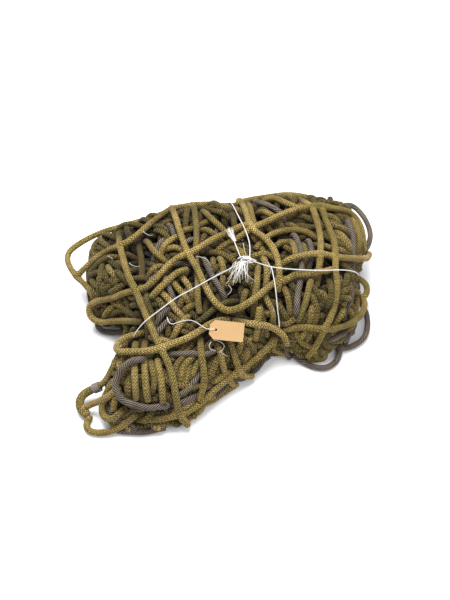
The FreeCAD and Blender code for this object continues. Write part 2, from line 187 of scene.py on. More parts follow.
laidRoutes = {
    "twisted_rope_limb_curve": [
        (-0.138, -0.172, 0.114), (-0.153, -0.175, 0.118), (-0.17, -0.18, 0.115), (-0.186, -0.194, 0.104),
        (-0.195, -0.216, 0.092), (-0.184, -0.236, 0.08), (-0.16, -0.243, 0.072), (-0.134, -0.246, 0.064),
        (-0.112, -0.24, 0.06), (-0.094, -0.236, 0.059)],
    "twisted_rope_middle": [
        (-0.036, 0.056, 0.127), (-0.035, 0.052, 0.136), (-0.032, 0.044, 0.144), (-0.024, 0.018, 0.144),
        (-0.01, -0.012, 0.143), (0.002, -0.034, 0.142), (0.006, -0.041, 0.134), (0.008, -0.045, 0.124)],
    "twisted_rope_right_inner": [
        (0.145, 0.12, 0.128), (0.147, 0.116, 0.137), (0.15, 0.108, 0.146), (0.159, 0.078, 0.144),
        (0.16, 0.044, 0.144), (0.158, 0.01, 0.144), (0.152, -0.02, 0.145), (0.147, -0.044, 0.142),
        (0.145, -0.063, 0.136), (0.144, -0.07, 0.128), (0.143, -0.074, 0.119)],
    "twisted_rope_right_outer": [
        (0.175, 0.103, 0.129), (0.176, 0.099, 0.138), (0.178, 0.091, 0.147), (0.182, 0.068, 0.146),
        (0.178, 0.044, 0.144), (0.176, 0.036, 0.135), (0.175, 0.032, 0.126)],
    "twisted_rope_top": [
        (0.07, 0.222, 0.13), (0.09, 0.204, 0.142), (0.112, 0.184, 0.147), (0.124, 0.17, 0.147),
        (0.13, 0.164, 0.138), (0.132, 0.161, 0.129)],
    "twisted_rope_right_side": [
        (0.262, 0.164, 0.134), (0.27, 0.14, 0.132), (0.274, 0.114, 0.122), (0.272, 0.088, 0.108),
        (0.266, 0.058, 0.106), (0.262, 0.03, 0.104), (0.262, 0.004, 0.096), (0.254, -0.024, 0.08),
        (0.24, -0.048, 0.064)],
    "twisted_rope_top_right_loop": [
        (0.244, 0.222, 0.105), (0.261, 0.23, 0.103), (0.272, 0.243, 0.099), (0.289, 0.246, 0.094),
        (0.306, 0.231, 0.087), (0.319, 0.206, 0.08), (0.324, 0.177, 0.074), (0.317, 0.152, 0.068),
        (0.306, 0.136, 0.066), (0.309, 0.124, 0.071)],
    "twisted_rope_low_right_loop": [
        (0.284, 0.03, 0.041), (0.293, 0.016, 0.032), (0.302, 0, 0.024), (0.303, -0.024, 0.014),
        (0.294, -0.05, 0.009), (0.274, -0.067, 0.008), (0.25, -0.077, 0.008), (0.232, -0.079, 0.012)],
    "twisted_rope_bottom_loop": [
        (0.142, -0.086, 0.012), (0.153, -0.1, 0.009), (0.17, -0.112, 0.007), (0.19, -0.122, 0.007),
        (0.212, -0.122, 0.007), (0.231, -0.107, 0.007), (0.239, -0.089, 0.008), (0.243, -0.07, 0.014)],
    "twisted_rope_left_bottom": [
        (-0.256, -0.005, 0.02), (-0.258, -0.018, 0.012), (-0.248, -0.032, 0.008), (-0.225, -0.036, 0.007),
        (-0.202, -0.034, 0.008)],
}

stringRoutes = {
    "tie_string_back": [
        (0.055, 0.021, 0.172), (0.059, 0.052, 0.171), (0.05, 0.098, 0.17), (0.037, 0.136, 0.168),
        (0.026, 0.176, 0.16), (0.02, 0.204, 0.146), (0.0195, 0.209, 0.138)],
    "tie_string_right": [
        (0.058, 0.017, 0.173), (0.08, 0.008, 0.171), (0.104, 0.001, 0.17), (0.136, -0.003, 0.17),
        (0.168, -0.006, 0.171), (0.2, -0.006, 0.17), (0.23, 0.002, 0.163), (0.256, 0.012, 0.148),
        (0.272, 0.022, 0.128), (0.275, 0.024, 0.119)],
    "tie_string_front": [
        (0.097, 0.002, 0.171), (0.101, -0.02, 0.168), (0.105, -0.048, 0.154), (0.108, -0.07, 0.13),
        (0.112, -0.084, 0.108), (0.1125, -0.089, 0.1)],
    "tie_string_left": [
        (0.04, 0.011, 0.173), (0.01, -0.008, 0.171), (-0.02, -0.026, 0.169), (-0.05, -0.046, 0.166),
        (-0.084, -0.064, 0.16), (-0.116, -0.088, 0.15), (-0.142, -0.106, 0.142),
        (-0.16, -0.118, 0.122), (-0.164, -0.12, 0.113)],
    "tie_string_tail": [
        (0.039, 0.022, 0.173), (0.031, 0.052, 0.171), (0.022, 0.084, 0.17)],
}
tagStringRoute = [
    (-0.0246, -0.1226, 0.1403), (-0.029, -0.1205, 0.14), (-0.036, -0.117, 0.143), (-0.048, -0.108, 0.145),
    (-0.062, -0.104, 0.144), (-0.078, -0.108, 0.143),
    (-0.09, -0.114, 0.142), (-0.098, -0.108, 0.143), (-0.1, -0.098, 0.144)]
eyeRoute = [
    (-0.244, -0.186, 0.032), (-0.262, -0.19, 0.025), (-0.271, -0.206, 0.019), (-0.265, -0.223, 0.014),
    (-0.25, -0.232, 0.012)]

# shorter ropes of the next layer, which settle under the outer ones
secondNetRoutes = {
    "left_stub": [(-0.27, 0.169, 0.078), (-0.263, 0.147, 0.08), (-0.254, 0.125, 0.082),
        (-0.258, 0.112, 0.078)],
    "left_low_band": [(-0.28, 0.09, 0.068), (-0.259, 0.09, 0.084), (-0.231, 0.073, 0.107),
        (-0.207, 0.053, 0.127), (-0.191, 0.036, 0.135)],
    "left_slant_outer": [(-0.248, 0.089, 0.088), (-0.226, 0.044, 0.113), (-0.208, 0.009, 0.12),
        (-0.195, -0.007, 0.112)],
    "left_slant_inner": [(-0.152, 0.101, 0.146), (-0.141, 0.078, 0.147), (-0.127, 0.056, 0.147),
        (-0.113, 0.04, 0.145)],
    "left_short_rise": [(-0.09, 0.108, 0.144), (-0.103, 0.094, 0.144), (-0.115, 0.078, 0.144),
        (-0.122, 0.062, 0.143)],
    "left_arc": [(-0.111, 0.074, 0.143), (-0.099, 0.082, 0.143), (-0.087, 0.076, 0.143),
        (-0.076, 0.063, 0.143)],
    "high_fall": [(-0.043, 0.199, 0.124), (-0.027, 0.159, 0.15), (-0.01, 0.139, 0.153),
        (0.006, 0.12, 0.152), (0.02, 0.106, 0.149)],
    "high_rise": [(-0.021, 0.168, 0.132), (-0.009, 0.188, 0.126), (0.006, 0.197, 0.126),
        (0.021, 0.197, 0.126)],
    "high_under": [(-0.078, 0.123, 0.143), (-0.064, 0.137, 0.143), (-0.048, 0.149, 0.143),
        (-0.032, 0.159, 0.141)],
    "high_under_fall": [(-0.043, 0.13, 0.144), (-0.031, 0.122, 0.144), (-0.018, 0.111, 0.144),
        (-0.004, 0.097, 0.144)],
    "middle_rise": [(-0.183, -0.012, 0.111), (-0.166, -0.003, 0.129), (-0.152, 0.004, 0.139),
        (-0.135, 0.012, 0.144), (-0.12, 0.022, 0.145)],
    "left_hook": [(-0.227, 0.027, 0.107), (-0.235, 0.016, 0.096), (-0.229, -0.005, 0.096),
        (-0.215, -0.013, 0.093)],
    "low_left_rise": [(-0.217, -0.018, 0.088), (-0.203, -0.011, 0.107), (-0.187, -0.007, 0.118),
        (-0.171, -0.004, 0.126)],
    "low_left_upright": [(-0.123, -0.034, 0.139), (-0.12, -0.055, 0.135), (-0.117, -0.077, 0.13)],
    "low_left_fall": [(-0.117, -0.031, 0.141), (-0.103, -0.05, 0.14), (-0.089, -0.066, 0.137),
        (-0.075, -0.08, 0.13)],
    "mid_fall_thin": [(-0.099, -0.012, 0.143), (-0.084, -0.028, 0.141), (-0.071, -0.046, 0.138),
        (-0.059, -0.06, 0.135)],
    "mid_fall": [(-0.082, 0.009, 0.145), (-0.071, -0.01, 0.146), (-0.061, -0.028, 0.144),
        (-0.051, -0.046, 0.139)],
    "centre_upright_a": [(-0.014, 0.05, 0.143), (-0.012, 0.024, 0.142), (-0.011, -0.003, 0.141)],
    "centre_upright_b": [(0, 0.052, 0.143), (0.002, 0.026, 0.142), (0.004, -0.001, 0.141)],
    "centre_low_rise": [(-0.072, -0.078, 0.13), (-0.063, -0.062, 0.135), (-0.049, -0.051, 0.136)],
    "shoulder_pair": [(0.057, 0.208, 0.136), (0.062, 0.168, 0.149), (0.068, 0.142, 0.15),
        (0.073, 0.118, 0.148)],
    "top_band": [(0.066, 0.213, 0.134), (0.087, 0.22, 0.136), (0.112, 0.219, 0.14), (0.136, 0.194, 0.153),
        (0.158, 0.183, 0.152), (0.177, 0.175, 0.148)],
    "top_hem": [(0.135, 0.259, 0.116), (0.155, 0.24, 0.128), (0.168, 0.198, 0.154), (0.181, 0.18, 0.152)],
    "back_hem": [(0.174, 0.2, 0.156), (0.199, 0.197, 0.155), (0.223, 0.188, 0.156), (0.249, 0.186, 0.149),
        (0.273, 0.184, 0.136)],
    "right_top_fall": [(0.083, 0.179, 0.144), (0.102, 0.164, 0.145), (0.119, 0.144, 0.145),
        (0.137, 0.122, 0.144)],
    "right_top_fall_b": [(0.131, 0.161, 0.145), (0.146, 0.146, 0.145), (0.162, 0.132, 0.145),
        (0.175, 0.116, 0.144)],
    "right_short_rise": [(0.102, 0.073, 0.146), (0.121, 0.084, 0.146), (0.139, 0.092, 0.146)],
    "right_short_fall": [(0.142, 0.101, 0.146), (0.147, 0.076, 0.146), (0.151, 0.05, 0.146)],
    "right_between": [(0.169, 0.112, 0.146), (0.171, 0.084, 0.146), (0.173, 0.058, 0.146),
        (0.172, 0.034, 0.146)],
    "right_long_fall": [(0.204, 0.169, 0.148), (0.225, 0.156, 0.15), (0.247, 0.139, 0.147),
        (0.273, 0.143, 0.122), (0.29, 0.13, 0.108)],
    "right_inner_fall": [(0.24, 0.126, 0.143), (0.249, 0.107, 0.136), (0.26, 0.094, 0.123),
        (0.266, 0.081, 0.11)],
    "right_cross_fall": [(0.196, 0.095, 0.146), (0.215, 0.077, 0.148), (0.235, 0.069, 0.142),
        (0.258, 0.076, 0.122)],
    "right_edge_fall": [(0.28, 0.176, 0.126), (0.287, 0.155, 0.118), (0.29, 0.13, 0.108),
        (0.288, 0.108, 0.095), (0.28, 0.084, 0.087)],
    "centre_right_a": [(0.071, 0.028, 0.149), (0.07, -0.003, 0.149), (0.068, -0.029, 0.145),
        (0.066, -0.051, 0.132)],
    "centre_right_b": [(0.081, 0.051, 0.148), (0.089, 0.033, 0.15), (0.092, 0.013, 0.149),
        (0.089, -0.011, 0.144)],
    "centre_bow": [(0.071, 0.048, 0.151), (0.085, 0.057, 0.153), (0.099, 0.055, 0.152),
        (0.109, 0.038, 0.148)],
    "knot_under": [(0.022, 0.073, 0.15), (0.038, 0.064, 0.151), (0.05, 0.051, 0.15),
        (0.059, 0.037, 0.146)],
    "knot_slant": [(0.063, 0.114, 0.147), (0.075, 0.097, 0.147), (0.082, 0.075, 0.147),
        (0.083, 0.051, 0.147)],
    "front_bow": [(0.118, -0.018, 0.147), (0.127, -0.032, 0.143), (0.133, -0.048, 0.132),
        (0.133, -0.063, 0.114)],
    "front_upright": [(0.176, -0.009, 0.148), (0.171, -0.037, 0.146), (0.163, -0.056, 0.136),
        (0.158, -0.07, 0.117)],
    "front_short_fall": [(0.184, -0.011, 0.144), (0.191, -0.03, 0.14), (0.2, -0.044, 0.13),
        (0.207, -0.056, 0.117)],
    "right_low_fall": [(0.229, 0.002, 0.135), (0.239, -0.011, 0.122), (0.251, -0.019, 0.101),
        (0.258, -0.027, 0.073)],
    "centre_short": [(0.047, -0.03, 0.141), (0.044, -0.051, 0.135), (0.039, -0.069, 0.128)],
    "centre_right_c": [(0.081, -0.04, 0.138), (0.089, -0.052, 0.128), (0.095, -0.063, 0.114),
        (0.099, -0.07, 0.097)],
    "limb_slant_right": [(-0.011, -0.134, 0.109), (-0.001, -0.15, 0.096), (0.008, -0.162, 0.073),
        (0.018, -0.167, 0.038)],
    "limb_slant_a": [(-0.059, -0.157, 0.108), (-0.066, -0.179, 0.102), (-0.073, -0.2, 0.095)],
    "limb_slant_b": [(-0.044, -0.158, 0.103), (-0.051, -0.176, 0.097), (-0.062, -0.194, 0.092)],
    "limb_low_band": [(-0.079, -0.238, 0.051), (-0.064, -0.232, 0.059), (-0.048, -0.22, 0.049),
        (-0.03, -0.207, 0.03)],
    "limb_under_curve": [(-0.127, -0.247, 0.045), (-0.109, -0.245, 0.044), (-0.09, -0.241, 0.045)],
    "limb_low_rise": [(-0.221, -0.26, 0.007), (-0.205, -0.26, 0.018), (-0.188, -0.256, 0.038),
        (-0.172, -0.251, 0.052), (-0.157, -0.244, 0.065)],
    "limb_toe": [(-0.142, -0.25, 0.039), (-0.129, -0.251, 0.018), (-0.118, -0.262, 0.007),
        (-0.109, -0.256, 0.007), (-0.109, -0.247, 0.03)],
    "limb_heel": [(-0.083, -0.244, 0.031), (-0.071, -0.245, 0.007), (-0.056, -0.252, 0.007),
        (-0.043, -0.241, 0.007), (-0.034, -0.219, 0.007)],
    "limb_foot": [(-0.13, -0.251, 0.025), (-0.148, -0.253, 0.032), (-0.167, -0.255, 0.022),
        (-0.187, -0.258, 0.007), (-0.209, -0.264, 0.007)],
    "limb_left_side": [(-0.185, -0.15, 0.098), (-0.192, -0.175, 0.099), (-0.199, -0.193, 0.089),
        (-0.2, -0.212, 0.083)],
    "limb_shoulder_upright": [(-0.14, -0.083, 0.128), (-0.141, -0.106, 0.123), (-0.142, -0.126, 0.117)],
    "limb_ring": [(-0.132, -0.168, 0.109), (-0.119, -0.181, 0.109), (-0.111, -0.199, 0.103),
        (-0.116, -0.213, 0.094), (-0.129, -0.219, 0.09)],
    "limb_back_short": [(-0.071, -0.09, 0.131), (-0.078, -0.11, 0.126), (-0.089, -0.126, 0.12)],
    "limb_back_slant": [(-0.117, -0.124, 0.119), (-0.102, -0.13, 0.119), (-0.087, -0.135, 0.116)],
    "limb_right_short": [(-0.022, -0.184, 0.069), (-0.005, -0.177, 0.06), (0.012, -0.166, 0.054)],
    "limb_right_a": [(0.048, -0.108, 0.101), (0.042, -0.126, 0.086), (0.035, -0.141, 0.071)],
    "limb_right_b": [(0.056, -0.111, 0.094), (0.054, -0.125, 0.076), (0.047, -0.141, 0.053)],
    "limb_hem_low": [(-0.026, -0.223, 0.009), (-0.013, -0.208, 0.009), (0, -0.194, 0.009),
        (0.016, -0.181, 0.01)],
    "limb_upright_low": [(0.069, -0.095, 0.095), (0.065, -0.113, 0.085), (0.06, -0.126, 0.07),
        (0.054, -0.136, 0.053)],
    "front_left_bow": [(0.123, -0.08, 0.075), (0.108, -0.082, 0.068), (0.103, -0.089, 0.05),
        (0.108, -0.089, 0.019), (0.123, -0.098, 0.007), (0.138, -0.108, 0.007)],
    "front_small_loop": [(0.148, -0.093, 0.069), (0.148, -0.098, 0.046), (0.142, -0.099, 0.018),
        (0.134, -0.094, 0.026)],
    "front_fall": [(0.142, -0.085, 0.085), (0.154, -0.094, 0.077), (0.166, -0.098, 0.06),
        (0.178, -0.099, 0.041)],
    "front_right_bow": [(0.243, -0.063, 0.054), (0.235, -0.076, 0.039), (0.22, -0.088, 0.027),
        (0.199, -0.098, 0.028), (0.178, -0.1, 0.035)],
    "front_toe": [(0.189, -0.099, 0.03), (0.208, -0.096, 0.021), (0.213, -0.101, 0.007),
        (0.196, -0.105, 0.007), (0.18, -0.101, 0.012)],
    "front_mid_rise": [(0.184, -0.052, 0.131), (0.175, -0.067, 0.119), (0.166, -0.079, 0.102)],
    "right_hook": [(0.228, -0.031, 0.123), (0.237, -0.037, 0.109), (0.242, -0.044, 0.091),
        (0.231, -0.06, 0.091)],
    "right_edge_low": [(0.259, -0.009, 0.098), (0.259, -0.024, 0.081), (0.253, -0.039, 0.069),
        (0.247, -0.052, 0.06)],
    "right_side_low": [(0.281, 0.021, 0.061), (0.285, -0.004, 0.056), (0.287, -0.023, 0.044),
        (0.28, -0.043, 0.034)],
    "front_inner_a": [(0.112, -0.038, 0.132), (0.114, -0.053, 0.119), (0.118, -0.064, 0.102),
        (0.129, -0.074, 0.089)],
    "front_inner_b": [(0.075, -0.053, 0.129), (0.083, -0.063, 0.117), (0.083, -0.073, 0.102)],
    "eye_inner_net": [(-0.248, -0.231, 0.012), (-0.231, -0.248, 0.012), (-0.215, -0.26, 0.014),
        (-0.198, -0.264, 0.022)],
}

secondLaidRoutes = {
    "by_tag": [(-0.094, -0.158, 0.113), (-0.075, -0.155, 0.114), (-0.057, -0.152, 0.113),
        (-0.039, -0.146, 0.11), (-0.02, -0.14, 0.107), (-0.007, -0.133, 0.106)],
    "limb_rise": [(-0.042, -0.179, 0.093), (-0.051, -0.199, 0.085), (-0.065, -0.216, 0.082),
        (-0.082, -0.227, 0.075)],
    "curve_end": [(-0.108, -0.241, 0.059), (-0.089, -0.236, 0.065), (-0.071, -0.231, 0.071),
        (-0.053, -0.219, 0.065), (-0.033, -0.205, 0.052)],
    "left_pair_a": [(-0.097, -0.065, 0.136), (-0.11, -0.076, 0.133), (-0.121, -0.087, 0.129),
        (-0.126, -0.097, 0.124)],
    "left_pair_b": [(-0.099, -0.096, 0.127), (-0.11, -0.106, 0.124), (-0.118, -0.117, 0.12)],
    "eye_tail": [(-0.245, -0.224, 0.012), (-0.23, -0.237, 0.011), (-0.214, -0.247, 0.011),
        (-0.203, -0.252, 0.011)],
    "left_dim_a": [(-0.128, 0.07, 0.144), (-0.123, 0.085, 0.145), (-0.116, 0.101, 0.146)],
    "left_dim_b": [(-0.116, 0.163, 0.131), (-0.105, 0.131, 0.146), (-0.096, 0.112, 0.146)],
    "high_dim_a": [(-0.077, 0.091, 0.145), (-0.065, 0.095, 0.146), (-0.053, 0.104, 0.145)],
    "high_dim_b": [(-0.016, 0.113, 0.145), (-0.008, 0.131, 0.146), (0, 0.15, 0.144)],
    "middle_dim": [(-0.081, 0.038, 0.145), (-0.067, 0.042, 0.146), (-0.053, 0.04, 0.145)],
    "low_left_dim": [(-0.112, -0.007, 0.143), (-0.102, -0.031, 0.142), (-0.091, -0.05, 0.138)],
    "left_band_dim": [(-0.15, -0.017, 0.131), (-0.138, -0.007, 0.14), (-0.127, 0.003, 0.143)],
    "left_low_dim": [(-0.279, 0.091, 0.06), (-0.257, 0.072, 0.07), (-0.231, 0.029, 0.106),
        (-0.214, 0.006, 0.115)],
    "left_end_dim": [(-0.284, 0.149, 0.072), (-0.286, 0.13, 0.07), (-0.275, 0.109, 0.072)],
    "front_bold": [(0.141, -0.088, 0.072), (0.13, -0.09, 0.051), (0.126, -0.091, 0.025),
        (0.128, -0.101, 0.007)],
    "front_rise": [(0.227, -0.077, 0.06), (0.21, -0.088, 0.059), (0.195, -0.095, 0.052),
        (0.178, -0.099, 0.04)],
    "limb_front_low": [(0.002, -0.187, 0.012), (0.022, -0.171, 0.012), (0.041, -0.155, 0.012),
        (0.061, -0.135, 0.012), (0.08, -0.117, 0.013)],
    "limb_side_a": [(-0.197, -0.155, 0.082), (-0.209, -0.153, 0.066), (-0.217, -0.159, 0.054)],
    "limb_side_b": [(-0.202, -0.188, 0.078), (-0.217, -0.183, 0.052), (-0.223, -0.192, 0.042)],
    "foot_low": [(-0.168, -0.264, 0.007), (-0.152, -0.259, 0.007), (-0.133, -0.257, 0.007)],
    "small_side_loop": [(0.26, -0.038, 0.016), (0.276, -0.048, 0.012), (0.292, -0.051, 0.01)],
    "side_upright": [(0.285, -0.025, 0.04), (0.284, -0.044, 0.028), (0.28, -0.063, 0.016)],
    "eye_inner_laid": [(-0.246, -0.227, 0.016), (-0.227, -0.243, 0.018), (-0.206, -0.258, 0.026),
        (-0.189, -0.268, 0.034)],
    "low_right_inner": [(0.248, -0.063, 0.03), (0.261, -0.078, 0.024), (0.28, -0.079, 0.018),
        (0.296, -0.064, 0.018), (0.298, -0.05, 0.026)],
}

# the tag string's loose ends, stray threads and fluff
threadRoutes = {
    "tag_end_long": [(-0.014, -0.137, 0.126), (-0.003, -0.137, 0.123), (0.008, -0.141, 0.114),
        (0.004, -0.148, 0.109), (-0.003, -0.152, 0.108), (0.012, -0.153, 0.096)],
    "tag_end_short": [(-0.018, -0.142, 0.126), (-0.023, -0.148, 0.122), (-0.018, -0.152, 0.115),
        (-0.009, -0.151, 0.11)],
    "thread_crossing": [(-0.048, 0.031, 0.169), (-0.035, 0.029, 0.169), (-0.025, 0.022, 0.168),
        (-0.019, 0.01, 0.165)],
    "thread_top": [(0.044, 0.065, 0.17), (0.045, 0.05, 0.169), (0.049, 0.036, 0.17)],
    "thread_middle": [(0.014, -0.036, 0.163), (0.021, -0.042, 0.161), (0.019, -0.05, 0.157),
        (0.012, -0.053, 0.154)],
    "thread_fold": [(-0.157, 0.104, 0.163), (-0.148, 0.09, 0.163), (-0.136, 0.091, 0.165)],
    "thread_left": [(-0.238, 0.073, 0.122), (-0.225, 0.064, 0.135), (-0.215, 0.048, 0.141)],
    "thread_left_low": [(-0.179, 0.024, 0.157), (-0.169, 0.013, 0.156), (-0.157, 0.014, 0.16)],
    "fluff_front": [(0.1, -0.065, 0.128), (0.106, -0.07, 0.113), (0.103, -0.077, 0.1),
        (0.111, -0.08, 0.078)],
    "fluff_side": [(0.079, -0.086, 0.1), (0.085, -0.088, 0.086), (0.078, -0.097, 0.082)],
    "fluff_back": [(0.091, 0.018, 0.167), (0.099, 0.005, 0.165), (0.094, -0.008, 0.162)],
}

# lines and tubes
def smoothLine(points):
    # the rope's centre line: a NURBS spline with the route's points as its control points
    curve = bpy.data.curves.new("route", "CURVE")
    curve.dimensions = "3D"
    curve.resolution_u = 14
    spline = curve.splines.new("NURBS")
    spline.points.add(len(points) - 1)
    for handle, place in zip(spline.points, points):
        handle.co = (*place, 1.0)
    spline.order_u = 3
    spline.use_endpoint_u = True
    holder = bpy.data.objects.new("route", curve)
    mesh = bpy.data.meshes.new_from_object(holder)
    line = np.array([vertex.co for vertex in mesh.vertices], float)
    bpy.data.objects.remove(holder)
    bpy.data.curves.remove(curve)
    bpy.data.meshes.remove(mesh)
    return line


def lineLength(line):
    return float(np.linalg.norm(np.diff(line, axis=0), axis=1).sum())


def evenLine(line, step):
    # the same line with its points one step apart, as near as its length allows
    runs = np.linalg.norm(np.diff(line, axis=0), axis=1)
    keep = np.concatenate(([True], runs > 1e-9))
    line = line[keep]
    along = np.concatenate(([0.0], np.cumsum(np.linalg.norm(np.diff(line, axis=0), axis=1))))
    count = max(3, int(round(along[-1] / step)) + 1)
    places = np.linspace(0, along[-1], count)
    return np.stack([np.interp(places, along, line[:, axis]) for axis in range(3)], axis=1)


def softened(line, times):
    # rounds the small kinks that even spacing leaves, with the ends kept
    for _ in range(times):
        line = line.copy()
        line[1:-1] = 0.25 * line[:-2] + 0.5 * line[1:-1] + 0.25 * line[2:]
    return line


def turningFrames(line):
    # two directions across the line at each point, carried along without twist
    heading = np.gradient(line, axis=0)
    heading /= np.linalg.norm(heading, axis=1)[:, None]
    across = np.zeros_like(line)
    start = np.array([0.0, 0.0, 1.0])
    if abs(heading[0] @ start) > 0.9:
        start = np.array([1.0, 0.0, 0.0])
    side = np.cross(heading[0], start)
    for i in range(len(line)):
        side = side - (side @ heading[i]) * heading[i]
        side = side / math.sqrt(side @ side)
        across[i] = side
    return across, np.cross(heading, across)


def tubePart(line, radii, relief, looks):
    # rings of points round a line. radii has one value a ring, relief and looks one a point
    across, upward = turningFrames(line)
    around = relief.shape[1]
    turn = 2 * np.pi * np.arange(around) / around
    reach = radii[:, None] + relief
    rings = (line[:, None, :]
             + reach[:, :, None] * (np.cos(turn)[None, :, None] * across[:, None, :]
                                    + np.sin(turn)[None, :, None] * upward[:, None, :]))
    count = len(line)
    ring = np.arange(count - 1)[:, None] * around
    here = np.arange(around)[None, :]
    after = (here + 1) % around
    quads = np.stack([ring + here, ring + after, ring + around + after, ring + around + here], axis=2)
    caps = [list(range(around))[::-1], list(range((count - 1) * around, count * around))]
    return {"points": rings.reshape(-1, 3), "quads": quads.reshape(-1, 4), "caps": caps,
            "looks": looks.reshape(-1, 3)}


def buildPiece(name, parts, material):
    points = np.concatenate([part["points"] for part in parts])
    looks = np.concatenate([part["looks"] for part in parts])
    offset = 0
    quads = []
    caps = []
    for part in parts:
        quads.append(part["quads"] + offset)
        caps += [[corner + offset for corner in cap] for cap in part["caps"]]
        offset += len(part["points"])
    quads = np.concatenate(quads)
    corners = np.concatenate([quads.reshape(-1)] + [np.array(cap) for cap in caps])
    sizes = np.concatenate([np.full(len(quads), 4), np.array([len(cap) for cap in caps], int)])
    mesh = bpy.data.meshes.new(name)
    mesh.vertices.add(len(points))
    mesh.vertices.foreach_set("co", points.astype(np.float32).reshape(-1))
    mesh.loops.add(len(corners))
    mesh.loops.foreach_set("vertex_index", corners.astype(np.int32))
    mesh.polygons.add(len(sizes))
    mesh.polygons.foreach_set("loop_start", (np.cumsum(sizes) - sizes).astype(np.int32))
    mesh.polygons.foreach_set("loop_total", sizes.astype(np.int32))
    mesh.update(calc_edges=True)
    mesh.validate()
    mesh.polygons.foreach_set("use_smooth", np.ones(len(mesh.polygons), bool))
    look = mesh.attributes.new("ropeLook", "FLOAT_COLOR", "POINT")
    values = np.column_stack([looks, np.ones(len(looks))]).astype(np.float32)
    look.data.foreach_set("color", values.reshape(-1))
    mesh.materials.append(material)
    piece = bpy.data.objects.new(name, mesh)
    bpy.context.scene.collection.objects.link(piece)
    return piece


def fasten(piece, body, slot, *nodes):
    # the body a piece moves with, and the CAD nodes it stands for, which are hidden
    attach(piece, body)
    if nodes:
        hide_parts(*nodes)


def roundedEnds(count, step, radius):
    # share of the radius at each ring: a blunt end that closes over about half a radius
    place = np.arange(count) * step
    gap = np.minimum(place, place[::-1])
    closing = np.clip(gap / (0.6 * radius), 0, 1)
    return 0.35 + 0.65 * np.sqrt(1 - (1 - closing) ** 2)


def slowWave(count, step, pitch, seed):
    # a smooth random wave from -1 to 1 along a rope, with a hump about every pitch
    knots = max(4, int(count * step / pitch) + 4)
    values = np.random.default_rng(seed).uniform(-1, 1, knots)
    place = np.linspace(0, knots - 1.001, count)
    low = place.astype(int)
    part = place - low
    part = part * part * (3 - 2 * part)
    return values[low] * (1 - part) + values[low + 1] * part


# shape of the heap that the folded net makes
heapValues = {
    "edgeReach": (0.066, 0.088),  # how far in from the outline the top levels off, body and limb
    "fullness": 2.5,  # of the rounded side
    "bodyTop": 0.158,
    "limbDrop": 0.038,
    "leftDrop": 0.035,
    "limbFrontDrop": 0.012,
    "tagRise": 0.02,
    "ropeGap": 0.0128,  # the ropes are pressed together a little
    "pointSpacing": 0.008,
    "rounds": 60,  # of pushing the ropes apart
    "smallestDepth": 0.008,  # under the outer ropes
    "lowest": 0.0072,  # a rope's line, above the floor
}
heapOutline = [
    (-0.262, -0.015), (-0.274, 0.02), (-0.283, 0.06), (-0.286, 0.1), (-0.286, 0.142), (-0.268, 0.17),
    (-0.235, 0.184), (-0.195, 0.198), (-0.155, 0.216), (-0.125, 0.228), (-0.09, 0.24), (-0.045, 0.248),
    (0.005, 0.246), (0.04, 0.256), (0.075, 0.265), (0.15, 0.274), (0.205, 0.267), (0.255, 0.252),
    (0.292, 0.222), (0.304, 0.165), (0.308, 0.12), (0.292, 0.08), (0.287, 0.02), (0.273, -0.025),
    (0.244, -0.078), (0.208, -0.101), (0.155, -0.108), (0.115, -0.09), (0.088, -0.1), (0.075, -0.125),
    (0.04, -0.155), (0, -0.185), (-0.03, -0.21), (-0.062, -0.25), (-0.1, -0.263), (-0.15, -0.268),
    (-0.196, -0.264), (-0.213, -0.225), (-0.223, -0.17), (-0.217, -0.13), (-0.195, -0.095),
    (-0.197, -0.075), (-0.19, -0.04), (-0.245, -0.032)]


def insetDistance(x, y):
    # how far inside the heap's outline each place is, below 0 outside it
    corners = np.array(heapOutline)
    best = np.full(x.shape, 9.0)
    within = np.zeros(x.shape, bool)
    for a, b in zip(corners, np.roll(corners, -1, axis=0)):
        run = b - a
        t = np.clip(((x - a[0]) * run[0] + (y - a[1]) * run[1]) / (run @ run), 0, 1)
        best = np.minimum(best, np.hypot(x - a[0] - t * run[0], y - a[1] - t * run[1]))
        crossing = (a[1] > y) != (b[1] > y)
        rise = b[1] - a[1] if abs(b[1] - a[1]) > 1e-9 else 1e-9
        within ^= crossing & (x < run[0] * (y - a[1]) / rise + a[0])
    return np.where(within, best, -best)


def frontShare(y):
    # 0 on the body, 1 on the limb that comes forward
    return 1 / (1 + np.exp((y + 0.09) / 0.028))


def edgeReach(y):
    body, limb = heapValues["edgeReach"]
    return body + (limb - body) * frontShare(y)


def topHeight(x, y):
    # lower over the limb, lower again at its front and at the left end, and raised under the tag
    left = 1 / (1 + np.exp((x + 0.215) / 0.022))
    limbFront = 1 / (1 + np.exp((y + 0.155) / 0.012))
    underTag = heapValues["tagRise"] * np.exp(-((x - 0.012) / 0.045) ** 2 - ((y + 0.116) / 0.03) ** 2)
    return (heapValues["bodyTop"] - heapValues["limbDrop"] * frontShare(y) - heapValues["leftDrop"] * left
            - heapValues["limbFrontDrop"] * limbFront + underTag)


def heapSurface(x, y, depth):
    # height of the layer that lies this deep under the outer ropes
    reach = edgeReach(y)
    fullness = heapValues["fullness"]
    inward = np.clip((insetDistance(x, y) - 0.3 * depth) / reach, 0, 1)
    height = (topHeight(x, y) - depth) * (1 - (1 - inward) ** fullness) ** (1 / fullness)
    return np.maximum(height, 0.007)


